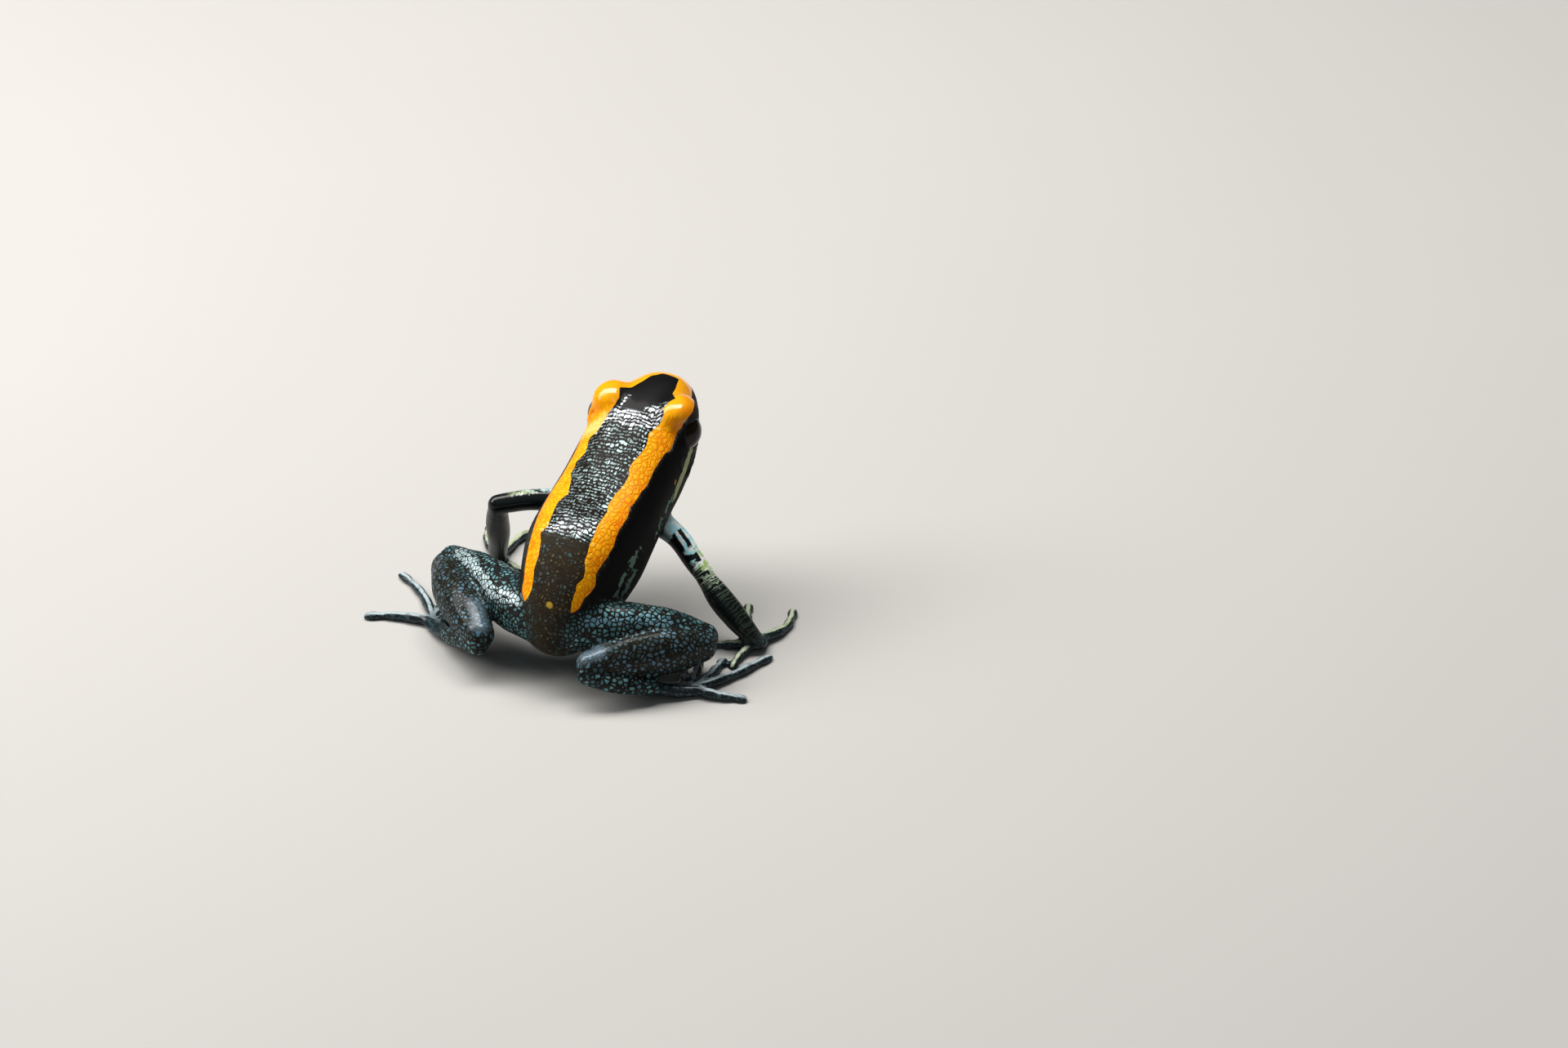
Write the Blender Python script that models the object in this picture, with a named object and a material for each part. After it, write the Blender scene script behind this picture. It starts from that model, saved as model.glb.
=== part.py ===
"""Golfodulcean poison frog, an adult of 28 mm from snout to vent, life size, sitting with its chest raised.

It faces -Y, its left side is +X, and it rests at Z = 0 on small flats under its palms, soles, fingers and toes.
Everything is laid out in millimetres on axes whose X = 0 is the midline and whose Y = 0 is at the vent, and is
scaled to metres and centred over the origin once, at the end.
"""

import math

import bmesh
import bpy
import numpy as np
from mathutils import Matrix, Vector

MM = 0.001
GAP = 0.3  # between two nodes that meet
WELD = 0.001  # vertices nearer than this are one
UP = Vector((0.0, 0.0, 1.0))
SIDES = (("left", 1.0), ("right", -1.0))

# The trunk and head are one tapering body. A station is a section from the back's midline to the belly's:
# top Y and Z, bottom Y and Z, half width, level of the widest part (share of its depth), and how square the
# section is above and below that level.
BODY_STATIONS = (
    (1.15, 4.60, 0.80, 3.60, 0.70, 0.50, 2.0, 2.0),
    (0.85, 6.10, -0.70, 2.40, 1.95, 0.48, 2.2, 2.2),
    (0.05, 8.10, -2.10, 2.10, 2.90, 0.48, 2.4, 2.3),
    (-1.30, 10.10, -3.50, 2.40, 3.60, 0.48, 2.6, 2.3),
    (-3.10, 11.80, -4.90, 3.05, 4.20, 0.48, 2.6, 2.3),
    (-5.40, 12.85, -6.20, 3.80, 4.75, 0.48, 2.5, 2.3),
    (-8.00, 13.30, -7.60, 4.70, 5.00, 0.47, 2.5, 2.3),
    (-10.60, 13.95, -9.20, 5.60, 4.95, 0.47, 2.5, 2.3),
    (-13.00, 14.90, -11.20, 6.60, 4.80, 0.46, 2.5, 2.5),
    (-15.10, 15.90, -13.40, 7.80, 4.74, 0.43, 2.5, 2.8),
    (-17.00, 16.80, -15.40, 8.90, 4.74, 0.38, 2.5, 3.0),
    (-18.60, 17.30, -17.40, 9.90, 4.62, 0.35, 2.4, 2.8),
    (-20.20, 17.55, -19.40, 10.70, 4.18, 0.33, 2.3, 2.7),
    (-21.70, 17.55, -21.40, 11.30, 3.60, 0.34, 2.3, 2.6),
    (-23.00, 17.25, -23.00, 11.90, 2.90, 0.36, 2.3, 2.5),
    (-24.15, 16.45, -24.10, 12.60, 2.10, 0.40, 2.2, 2.3),
    (-24.90, 15.30, -24.85, 13.35, 1.20, 0.46, 2.0, 2.0),
    (-25.10, 14.70, -25.10, 14.00, 0.45, 0.50, 2.0, 2.0),
)
BODY_SIDES = 28
BODY_STEPS = 2
NECK_Y = -15.3
SURFACE_START = 8.0  # the station behind which no feature of the head is looked for
SURFACE_ALONG, SURFACE_AROUND = 91, 61

MOUTH_FRONT_Y, MOUTH_FRONT_Z = -25.0, 13.35
MOUTH_FALL = 0.2  # for each millimetre towards the rear
CHIN_INSET = 0.12  # by which the lower jaw sits inside the upper lip
LIP_RADIUS = 0.24
LIP_REACH, LIP_FRONT = -16.9, -24.4  # Y, along each side
LIP_POINTS, LIP_SIDES = 8, 8
LIP_MIDDLE = Vector((0.0, -20.0, 0.0))  # the lip's bead is sunk towards this
LIP_SINK = 0.45  # share of its radius

EYE_CENTRE = (3.38, -18.55, 14.85)
EYE_RADIUS = 1.70
EYE_SIDES, EYE_RINGS = 20, 12
LID_CENTRE = (3.00, -18.80, 16.35)
LID_RADII = (1.65, 2.10, 1.45)
LID_TILT = math.radians(8.0)
RIM_OFFSET = (0.80, -0.03, -0.12)  # from the eye's centre
RIM_RADIUS, RIM_THICKNESS = 2.00, 0.32
RIM_FACING = (1.0, -0.12, 0.12)  # a little forwards and up
EARDRUM_Y, EARDRUM_Z = -16.45, 13.1
EARDRUM_RADIUS, EARDRUM_RIM = 0.58, 0.17
NOSTRIL_Y, NOSTRIL_Z, NOSTRIL_RADIUS = -24.15, 14.95, 0.19
NOSTRIL_SIDES, NOSTRIL_RINGS = 8, 6

# A limb segment is a row of stations: X, Y, Z, half width and half height. X is positive on both sides here.
UPPER_ARM = {
    "left": ((2.7, -14.3, 8.6, 1.10, 1.20), (5.6, -13.1, 8.9, 0.95, 1.00), (8.0, -12.0, 8.9, 0.86, 0.90),
             (10.1, -11.0, 8.5, 0.82, 0.84)),
    "right": ((2.7, -14.3, 8.6, 1.10, 1.20), (5.0, -13.8, 7.7, 0.95, 1.00), (6.8, -13.1, 6.5, 0.88, 0.92),
              (8.3, -12.4, 5.4, 0.84, 0.86)),
}
FOREARM = {
    "left": ((10.2, -11.15, 8.1, 0.82, 0.84), (10.75, -12.1, 6.0, 1.00, 1.04), (11.25, -13.0, 3.6, 0.92, 0.96),
             (11.8, -13.9, 1.45, 0.76, 0.72)),
    "right": ((8.5, -12.3, 5.1, 0.84, 0.86), (10.05, -11.85, 3.85, 1.06, 1.10), (11.65, -11.55, 2.45, 0.98, 1.02),
              (13.1, -11.35, 1.30, 0.80, 0.72)),
}
THIGH = {
    "left": ((1.8, -1.7, 5.3, 2.2, 2.4), (5.2, -3.3, 5.0, 2.1, 2.55), (9.0, -5.5, 4.95, 1.75, 2.0),
             (12.4, -7.2, 4.5, 1.25, 1.40)),
    "right": ((1.8, -1.7, 5.3, 2.1, 2.2), (4.9, -3.4, 4.8, 2.05, 2.2), (8.1, -5.4, 4.1, 1.80, 1.90),
              (10.6, -6.9, 3.2, 1.25, 1.35)),
}
SHANK = {
    "left": ((12.7, -6.4, 4.1, 1.30, 1.50), (10.9, -4.1, 4.15, 1.75, 2.05), (8.4, -1.6, 4.0, 1.75, 1.95),
             (6.0, 0.6, 3.6, 1.25, 1.30)),
    "right": ((10.8, -6.1, 3.0, 1.35, 1.50), (9.1, -4.2, 3.25, 1.75, 2.05), (6.6, -1.9, 3.35, 1.65, 1.95),
              (4.0, 0.5, 3.3, 1.15, 1.20)),
}
TARSUS = {
    "left": ((5.8, 1.4, 3.0, 0.80, 0.84), (7.7, 0.2, 2.3, 0.78, 0.80), (9.9, -1.4, 1.3, 0.76, 0.72)),
    "right": ((4.0, 1.3, 2.8, 0.82, 0.86), (6.0, 0.5, 2.1, 0.80, 0.82), (8.6, -1.4, 1.25, 0.76, 0.72)),
}
ANKLE_TO_TOES = {
    "left": ((10.6, -1.9, 0.90, 0.66, 0.56), (11.6, -2.8, 0.60, 0.82, 0.54), (12.6, -3.7, 0.46, 0.92, 0.52)),
    "right": ((9.3, -1.9, 0.90, 0.66, 0.56), (10.2, -2.7, 0.60, 0.82, 0.54), (11.2, -3.5, 0.46, 0.92, 0.52)),
}
LEG_TABLES = {"thigh": THIGH, "shank": SHANK, "tarsus": TARSUS, "sole": ANKLE_TO_TOES}
PALM = {
    "left": ((11.9, -14.3, 0.78, 0.72, 0.55), (12.2, -14.9, 0.45, 0.95, 0.52)),
    "right": ((13.7, -11.4, 0.78, 0.72, 0.55), (13.3, -12.0, 0.45, 0.95, 0.52)),
}

# A digit runs from its own root (X, Y) to its tip (X, Y), and bows sideways by the last value.
FINGERS = {
    "left": ((11.9, -14.2, 10.1, -11.2, 0.20), (11.7, -14.5, 8.3, -13.9, 0.30), (12.1, -15.2, 11.4, -20.9, -0.45),
             (12.6, -15.1, 15.4, -19.4, -0.50)),
    "right": ((13.2, -11.4, 12.7, -8.2, -0.20), (12.9, -11.7, 9.9, -10.5, 0.25), (12.9, -12.4, 10.2, -16.9, 0.30),
              (13.5, -12.5, 13.9, -17.7, -0.75)),
}
TOES = {
    "left": ((11.7, -3.7, 11.0, -6.7, 0.20), (12.2, -4.0, 12.2, -8.9, 0.25), (12.7, -4.1, 15.0, -10.9, 0.30),
             (12.9, -4.0, 18.7, -9.4, 0.50), (12.9, -3.6, 18.3, -2.6, 0.35)),
    "right": ((10.3, -3.5, 9.2, -6.1, -0.15), (10.8, -3.8, 9.9, -7.6, -0.20), (11.4, -3.9, 11.7, -8.6, -0.20),
              (11.6, -3.8, 14.9, -10.6, -0.35), (11.6, -3.4, 15.5, -4.2, -0.25)),
}
# Along a digit: share of its length, height of its axis, half width, half height. The last three are its disc.
DIGIT_STATIONS = (
    (0.00, 0.58, 0.46, 0.42),
    (0.20, 0.50, 0.43, 0.40),
    (0.40, 0.43, 0.40, 0.38),
    (0.60, 0.37, 0.37, 0.35),
    (0.80, 0.31, 0.33, 0.32),
    (0.90, 0.27, 0.46, 0.32),
    (1.00, 0.22, 0.42, 0.24),
)
LIMB_SIDES = 12
DIGIT_SIDES = 8
LIMB_STEPS = 3
DIGIT_STEPS = 1
BEAD_SIDES, BEAD_AROUND = 18, 6
CAP_STEPS = 3
CAP_END = 0.3  # share of the radius left for the flat that closes a rounded end

FINISHES = {
    "skin": ((0.012, 0.012, 0.014), 0.35),
    "limb": ((0.020, 0.045, 0.050), 0.40),
    "jaw": ((0.030, 0.055, 0.050), 0.40),
    "eye": ((0.004, 0.003, 0.003), 0.06),
}


def blend(rows, place):
    """Read a table of stations smoothly at a place between two of its rows."""
    last = len(rows) - 1
    start = min(int(place), last - 1)
    part = place - start
    before, here = rows[max(start - 1, 0)], rows[start]
    there, after = rows[start + 1], rows[min(start + 2, last)]
    curve = (
        2.0 * here
        + (there - before) * part
        + (2.0 * before - 5.0 * here + 4.0 * there - after) * part**2
        + (3.0 * here - before - 3.0 * there + after) * part**3
    )
    return curve / 2.0


def places(rows, steps):
    return np.linspace(0.0, len(rows) - 1.0, (len(rows) - 1) * steps + 1)


def body_point(station, angle, swell=0.0):
    """A point of a body section, at an angle from the back's midline towards the left."""
    top_y, top_z, low_y, low_z, half_width, level, top_square, low_square = station
    top, low = Vector((0.0, top_y, top_z)), Vector((0.0, low_y, low_z))
    depth = (top - low).length
    rise_axis = (top - low) / depth
    across, along = math.sin(angle), math.cos(angle)
    reach = (1.0 - level) * depth if along > 0.0 else level * depth
    square = top_square if along > 0.0 else low_square
    x = math.copysign(abs(across) ** (2.0 / square), across) * (half_width + swell)
    rise = math.copysign(abs(along) ** (2.0 / square), along) * (reach + swell)
    return low + rise_axis * (level * depth + rise) + Vector((x, 0.0, 0.0))


def body_rings(swell=0.0, inset=0.0):
    rows = np.array(BODY_STATIONS)
    rings = []
    for place in places(rows, BODY_STEPS):
        station = blend(rows, place)
        angles = [math.tau * side / BODY_SIDES for side in range(BODY_SIDES)]
        rings.append([body_point(station, angle, swell - inset) for angle in angles])
    if swell > 0.0:
        rings[0] = [point + Vector((0.0, swell, 0.0)) for point in rings[0]]
    return rings


def body_surface(y, z):
    """The point of the body's side that has this Y and Z."""
    rows = np.array(BODY_STATIONS)
    best, distance = None, math.inf
    for place in np.linspace(SURFACE_START, len(rows) - 1.0, SURFACE_ALONG):
        station = blend(rows, place)
        for angle in np.linspace(0.0, math.pi, SURFACE_AROUND):
            point = body_point(station, angle)
            off = (point.y - y) ** 2 + (point.z - z) ** 2
            if off < distance:
                best, distance = point, off
    return best


def tube_rings(stations, sides, steps, swell=0.0):
    """Oval rings along a smooth path, closed by rounded ends."""
    rows = np.array(stations)
    path = [blend(rows, place) for place in places(rows, steps)]
    rings = []
    for index, row in enumerate(path):
        ahead = Vector(path[min(index + 1, len(path) - 1)][:3])
        tangent = (ahead - Vector(path[max(index - 1, 0)][:3])).normalized()
        side_axis = tangent.cross(UP).normalized()
        high_axis = side_axis.cross(tangent)
        centre, wide, high = Vector(row[:3]), row[3] + swell, row[4] + swell
        ends = {0: -1.0, len(path) - 1: 1.0}.get(index, 0.0)
        turns = [math.pi / 2.0 * step / (CAP_STEPS + 1) for step in range(CAP_STEPS + 1)] if ends else [0.0]
        closing = []
        for turn in turns:
            size = max(math.cos(turn), CAP_END)
            middle = centre + tangent * (ends * math.sin(turn) * (wide + high) / 2.0)
            closing.append([
                middle + side_axis * (wide * size * math.cos(angle)) + high_axis * (high * size * math.sin(angle))
                for angle in (math.tau * side / sides for side in range(sides))
            ])
        rings.extend(reversed(closing) if ends < 0.0 else closing)
    return rings


def finish(name, shell):
    """Link a mesh as an object of its own."""
    bmesh.ops.recalc_face_normals(shell, faces=shell.faces)
    mesh = bpy.data.meshes.new(name)
    shell.to_mesh(mesh)
    shell.free()
    item = bpy.data.objects.new(name, mesh)
    bpy.context.collection.objects.link(item)
    return item


def loft(name, rings):
    """Bridge closed rings of equal count, with a cap at both ends."""
    shell = bmesh.new()
    previous = None
    for index, ring in enumerate(rings):
        ends = index in (0, len(rings) - 1)
        circle = bmesh.ops.create_circle(shell, segments=len(ring), radius=1.0, cap_ends=ends)["verts"]
        for vert, point in zip(circle, ring):
            vert.co = point
        edges = list({edge for vert in circle for edge in vert.link_edges})
        if previous:
            bmesh.ops.bridge_loops(shell, edges=previous + edges)
        previous = edges
    return finish(name, shell)


def tube(name, stations, sides=LIMB_SIDES, steps=LIMB_STEPS, swell=0.0):
    return loft(name, tube_rings(stations, sides, steps, swell))


def ball(name, centre, radii, sides=EYE_SIDES, rings=EYE_RINGS, tilt=0.0):
    shell = bmesh.new()
    place = Matrix.Translation(centre) @ Matrix.Rotation(tilt, 4, "X") @ Matrix.Diagonal((*radii, 1.0))
    bmesh.ops.create_uvsphere(shell, u_segments=sides, v_segments=rings, radius=1.0, matrix=place)
    return finish(name, shell)


def ring_bead(name, centre, axis, radius, thickness, sides=BEAD_SIDES, around=BEAD_AROUND):
    """A torus: a small circle spun about the axis."""
    shell = bmesh.new()
    turn = axis.to_track_quat("Z", "Y").to_matrix().to_4x4()
    place = Matrix.Translation(centre) @ turn @ Matrix.Translation((radius, 0.0, 0.0))
    upright = Matrix.Rotation(math.pi / 2.0, 4, "X")
    circle = bmesh.ops.create_circle(shell, segments=around, radius=thickness, matrix=place @ upright)
    geometry = circle["verts"] + list(shell.edges)
    bmesh.ops.spin(
        shell, geom=geometry, cent=centre, axis=axis, angle=math.tau, steps=sides, use_merge=True, use_duplicate=False
    )
    bmesh.ops.remove_doubles(shell, verts=shell.verts, dist=WELD)
    return finish(name, shell)


def apply_boolean(item, operation, others):
    """Join or cut an object with a collection of closed ones, which are then removed."""
    group = bpy.data.collections.new(item.name + "_pieces")
    for other in others:
        group.objects.link(other)
    change = item.modifiers.new(operation.lower(), "BOOLEAN")
    change.operation = operation
    change.operand_type = "COLLECTION"
    change.collection = group
    change.solver = "EXACT"
    graph = bpy.context.evaluated_depsgraph_get()
    mesh = bpy.data.meshes.new_from_object(item.evaluated_get(graph))
    item.modifiers.remove(change)
    item.data = mesh
    for other in others:
        bpy.data.objects.remove(other)
    bpy.data.collections.remove(group)
    return item


def join(item, *others):
    return apply_boolean(item, "UNION", others)


def cut(item, *others):
    return apply_boolean(item, "DIFFERENCE", others)


def trim(item, point, outward):
    """Cut an object off flat, past a point in one direction."""
    shell = bmesh.new()
    shell.from_mesh(item.data)
    everything = list(shell.verts) + list(shell.edges) + list(shell.faces)
    result = bmesh.ops.bisect_plane(shell, geom=everything, plane_co=point, plane_no=outward, clear_outer=True)
    rim = [piece for piece in result["geom_cut"] if isinstance(piece, bmesh.types.BMEdge)]
    bmesh.ops.holes_fill(shell, edges=rim)
    bmesh.ops.recalc_face_normals(shell, faces=shell.faces)
    shell.to_mesh(item.data)
    shell.free()
    return item


def keep_largest(item):
    """Keep the largest closed surface and drop scraps and sealed hollows."""
    shell = bmesh.new()
    shell.from_mesh(item.data)
    bmesh.ops.remove_doubles(shell, verts=shell.verts, dist=WELD)
    bmesh.ops.dissolve_degenerate(shell, edges=shell.edges, dist=WELD)
    bmesh.ops.triangulate(shell, faces=shell.faces)
    waiting, pieces = set(shell.faces), []
    while waiting:
        piece, queue = set(), [waiting.pop()]
        while queue:
            face = queue.pop()
            piece.add(face)
            near = {other for edge in face.edges for other in edge.link_faces}
            queue.extend(near & waiting)
            waiting -= near
        pieces.append(piece)
    pieces.sort(key=lambda piece: sum(face.calc_area() for face in piece))
    scraps = [face for piece in pieces[:-1] for face in piece]
    bmesh.ops.delete(shell, geom=scraps, context="FACES")
    bmesh.ops.recalc_face_normals(shell, faces=shell.faces)
    shell.to_mesh(item.data)
    shell.free()
    return item


def mirrored(stations, way):
    return [(station[0] * way, *station[1:]) for station in stations]


def mouth_height(y):
    return MOUTH_FRONT_Z - MOUTH_FALL * (y - MOUTH_FRONT_Y)


def upper_lip():
    """A bead that follows the upper edge of the mouth round the snout."""
    ys = np.linspace(LIP_REACH, LIP_FRONT, LIP_POINTS)
    side = [body_surface(y, mouth_height(y) + LIP_RADIUS) for y in ys]
    points = side + [Vector((0.0, MOUTH_FRONT_Y + LIP_RADIUS / 2.0, mouth_height(MOUTH_FRONT_Y) + LIP_RADIUS))]
    points += [Vector((-point.x, point.y, point.z)) for point in reversed(side)]
    stations = []
    for point in points:
        inward = LIP_MIDDLE - Vector((point.x, point.y, 0.0))
        centre = point + inward.normalized() * (LIP_RADIUS * LIP_SINK)
        stations.append((*centre, LIP_RADIUS, LIP_RADIUS))
    return tube("upper_lip", stations, sides=LIP_SIDES, steps=1)


def build_head():
    head = loft("head", body_rings())
    beads = [upper_lip()]
    for side, way in SIDES:
        centre = Vector((EYE_CENTRE[0] * way, *EYE_CENTRE[1:]))
        lid = (LID_CENTRE[0] * way, *LID_CENTRE[1:])
        beads.append(ball("lid_" + side, lid, LID_RADII, tilt=LID_TILT))
        rim = centre + Vector((RIM_OFFSET[0] * way, *RIM_OFFSET[1:]))
        facing = Vector((RIM_FACING[0] * way, *RIM_FACING[1:]))
        beads.append(ring_bead("rim_" + side, rim, facing, RIM_RADIUS, RIM_THICKNESS))
        drum = body_surface(EARDRUM_Y, EARDRUM_Z)
        spot = Vector((drum.x * way, drum.y, drum.z))
        beads.append(ring_bead("eardrum_" + side, spot, Vector((way, 0.0, 0.0)), EARDRUM_RADIUS, EARDRUM_RIM))
    join(head, *beads)
    hollows = []
    for side, way in SIDES:
        centre = (EYE_CENTRE[0] * way, *EYE_CENTRE[1:])
        hollows.append(ball("socket_" + side, centre, (EYE_RADIUS + GAP,) * 3))
        nostril = body_surface(NOSTRIL_Y, NOSTRIL_Z)
        spot = (nostril.x * way, nostril.y, nostril.z)
        hollows.append(ball("nostril_" + side, spot, (NOSTRIL_RADIUS,) * 3, NOSTRIL_SIDES, NOSTRIL_RINGS))
    cut(head, *hollows)
    trim(head, (0.0, NECK_Y - GAP / 2.0, 0.0), (0.0, 1.0, 0.0))
    mouth = Vector((0.0, MOUTH_FRONT_Y, MOUTH_FRONT_Z + GAP / 2.0))
    trim(head, mouth, (0.0, -MOUTH_FALL, -1.0))
    return [head]


def build_lower_jaw():
    jaw = loft("lower_jaw", body_rings(inset=CHIN_INSET))
    trim(jaw, (0.0, NECK_Y - GAP / 2.0, 0.0), (0.0, 1.0, 0.0))
    trim(jaw, (0.0, MOUTH_FRONT_Y, MOUTH_FRONT_Z - GAP / 2.0), (0.0, MOUTH_FALL, 1.0))
    return [jaw]


def build_torso():
    torso = loft("torso", body_rings())
    trim(torso, (0.0, NECK_Y + GAP / 2.0, 0.0), (0.0, -1.0, 0.0))
    return [torso]


def build_eyes():
    return [
        ball("eye_" + side, (EYE_CENTRE[0] * way, *EYE_CENTRE[1:]), (EYE_RADIUS,) * 3) for side, way in SIDES
    ]


def digit(name, root_x, root_y, tip_x, tip_y, bow, way, swell=0.0):
    root, tip = Vector((root_x, root_y, 0.0)), Vector((tip_x, tip_y, 0.0))
    across = (tip - root).normalized().cross(UP)
    stations = []
    for share, height, wide, high in DIGIT_STATIONS:
        spot = root.lerp(tip, share) + across * (bow * math.sin(math.pi * share))
        stations.append((spot.x, spot.y, height, wide, high))
    return tube(name, mirrored(stations, way), DIGIT_SIDES, DIGIT_STEPS, swell)


def extremity(name, core, digits, way):
    """A palm or a sole with its digits, flat where it stands."""
    item = tube(name, mirrored(core, way))
    join(item, *[digit(f"{name}_{index}", *row, way) for index, row in enumerate(digits)])
    return trim(item, (0.0, 0.0, 0.0), (0.0, 0.0, -1.0))


def build_arm(side, way):
    upper, fore = mirrored(UPPER_ARM[side], way), mirrored(FOREARM[side], way)
    palm = mirrored(PALM[side], way)
    upper_arm, forearm = tube("upper_arm_" + side, upper), tube("forearm_" + side, fore)
    hand = extremity("hand_" + side, PALM[side], FINGERS[side], way)
    cut(upper_arm, loft("trunk", body_rings(swell=GAP)), tube("elbow", fore, swell=GAP))
    fingers = [digit(f"finger_{index}", *row, way, swell=GAP) for index, row in enumerate(FINGERS[side])]
    cut(forearm, tube("wrist", palm, swell=GAP), *fingers)
    return [upper_arm, forearm, hand]


def build_leg(side, way):
    rows = {name: mirrored(table[side], way) for name, table in LEG_TABLES.items()}
    thigh, shank, tarsus = (tube(f"{name}_{side}", rows[name]) for name in ("thigh", "shank", "tarsus"))
    foot = extremity("foot_" + side, ANKLE_TO_TOES[side], TOES[side], way)
    cut(thigh, loft("trunk", body_rings(swell=GAP)), tube("knee", rows["shank"], swell=GAP))
    cut(shank, tube("heel", rows["tarsus"], swell=GAP))
    cut(tarsus, tube("ankle", rows["sole"], swell=GAP))
    return [thigh, shank, tarsus, foot]


def paint(item, finish_name):
    colour, roughness = FINISHES[finish_name]
    material = bpy.data.materials.new(item.name + "_finish")
    material.use_nodes = True
    shader = material.node_tree.nodes["Principled BSDF"]
    shader.inputs["Base Color"].default_value = (*colour, 1.0)
    shader.inputs["Roughness"].default_value = roughness
    shader.inputs["Metallic"].default_value = 0.0
    item.data.materials.clear()
    item.data.materials.append(material)


def finish_for(name):
    if name.startswith("eye"):
        return "eye"
    if name == "lower_jaw":
        return "jaw"
    return "skin" if name in ("head", "torso") else "limb"


def centre_and_scale(items):
    """Put the middle of the whole frog's footprint over the origin, in metres."""
    corners = np.array([vert.co for item in items for vert in item.data.vertices])
    low, high = corners.min(axis=0), corners.max(axis=0)
    middle = Vector(((low[0] + high[0]) / 2.0, (low[1] + high[1]) / 2.0, 0.0))
    place = Matrix.Scale(MM, 4) @ Matrix.Translation(-middle)
    for item in items:
        item.data.transform(place)


def main():
    for item in list(bpy.data.objects):
        bpy.data.objects.remove(item)
    items = build_torso() + build_head() + build_lower_jaw() + build_eyes()
    for side, way in SIDES:
        items += build_arm(side, way) + build_leg(side, way)
    for item in items:
        keep_largest(item)
        paint(item, finish_for(item.name))
        item.data.shade_smooth()
    centre_and_scale(items)


main()
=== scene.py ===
# The golfodulcean poison frog in its finished skin, on a pale floor, seen from behind its right side.
import math

import bmesh
import bpy
import numpy as np
from mathutils import Matrix, Vector


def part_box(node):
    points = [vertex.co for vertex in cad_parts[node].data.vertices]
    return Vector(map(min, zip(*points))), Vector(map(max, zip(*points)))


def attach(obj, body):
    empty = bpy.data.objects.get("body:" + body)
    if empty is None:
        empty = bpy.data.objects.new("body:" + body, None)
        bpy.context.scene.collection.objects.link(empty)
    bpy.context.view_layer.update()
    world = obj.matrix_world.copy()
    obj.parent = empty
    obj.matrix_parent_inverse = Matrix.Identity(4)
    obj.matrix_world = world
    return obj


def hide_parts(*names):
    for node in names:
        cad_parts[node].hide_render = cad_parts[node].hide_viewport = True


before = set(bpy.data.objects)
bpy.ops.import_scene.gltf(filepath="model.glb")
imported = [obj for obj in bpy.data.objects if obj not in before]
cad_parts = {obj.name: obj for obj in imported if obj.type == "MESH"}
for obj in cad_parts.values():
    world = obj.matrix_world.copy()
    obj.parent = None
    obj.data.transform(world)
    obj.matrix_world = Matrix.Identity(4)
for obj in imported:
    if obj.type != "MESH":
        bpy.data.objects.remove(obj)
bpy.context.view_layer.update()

# The frog is laid out in millimetres, with X = 0 on its midline, Y = 0 at its vent, Z = 0 on the floor,
# facing -Y and with its left side at +X. Each finished piece is then scaled and moved onto the frame once.
MM = 0.001
UP = Vector((0.0, 0.0, 1.0))
SIDES = (("left", 1.0), ("right", -1.0))

# A section of the body from the back's midline to the belly's: top Y and Z, bottom Y and Z, half width,
# level of the widest part as a share of the depth, and how square the section is above and below it.
BODY_STATIONS = np.array((
    (1.15, 4.60, 0.80, 3.60, 0.70, 0.50, 2.0, 2.0),
    (0.85, 6.10, -0.70, 2.40, 1.95, 0.48, 2.2, 2.2),
    (0.05, 8.10, -2.10, 2.10, 2.90, 0.48, 2.4, 2.3),
    (-1.30, 10.10, -3.50, 2.40, 3.60, 0.48, 2.6, 2.3),
    (-3.10, 11.80, -4.90, 3.05, 4.20, 0.48, 2.6, 2.3),
    (-5.40, 12.85, -6.20, 3.80, 4.75, 0.48, 2.5, 2.3),
    (-8.00, 13.30, -7.60, 4.70, 5.00, 0.47, 2.5, 2.3),
    (-10.60, 13.95, -9.20, 5.60, 4.95, 0.47, 2.5, 2.3),
    (-13.00, 14.90, -11.20, 6.60, 4.80, 0.46, 2.5, 2.5),
    (-15.10, 15.90, -13.40, 7.80, 4.74, 0.43, 2.5, 2.8),
    (-17.00, 16.80, -15.40, 8.90, 4.74, 0.38, 2.5, 3.0),
    (-18.60, 17.30, -17.40, 9.90, 4.62, 0.35, 2.4, 2.8),
    (-20.20, 17.55, -19.40, 10.70, 4.18, 0.33, 2.3, 2.7),
    (-21.70, 17.55, -21.40, 11.30, 3.60, 0.34, 2.3, 2.6),
    (-23.00, 17.25, -23.00, 11.90, 2.90, 0.36, 2.3, 2.5),
    (-24.15, 16.45, -24.10, 12.60, 2.10, 0.40, 2.2, 2.3),
    (-24.90, 15.30, -24.85, 13.35, 1.20, 0.46, 2.0, 2.0),
    (-25.10, 14.70, -25.10, 14.00, 0.45, 0.50, 2.0, 2.0),
))
BODY_SIDES, BODY_STEPS = 64, 5

MOUTH_FRONT_Y, MOUTH_FRONT_Z = -25.0, 13.35
MOUTH_FALL = 0.2  # for each millimetre towards the rear
MOUTH_CORNER_Y = -16.9
LIP_RADIUS = 0.24

EYE_CENTRE = (3.38, -18.55, 14.85)
EYE_RADIUS = 1.70
PUPIL_RADII = (0.85, 0.62)  # along the frog and upwards
LID_CENTRE = (3.00, -18.80, 16.35)
LID_RADII = (1.65, 2.10, 1.45)
LID_TILT = math.radians(8.0)
RIM_OFFSET = (0.75, -0.05, 0.05)  # from the eye's centre
RIM_RADIUS, RIM_THICKNESS = 1.56, 0.20
RIM_SWELL = 0.10
RIM_FACING = (1.0, -0.12, 0.12)
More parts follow.
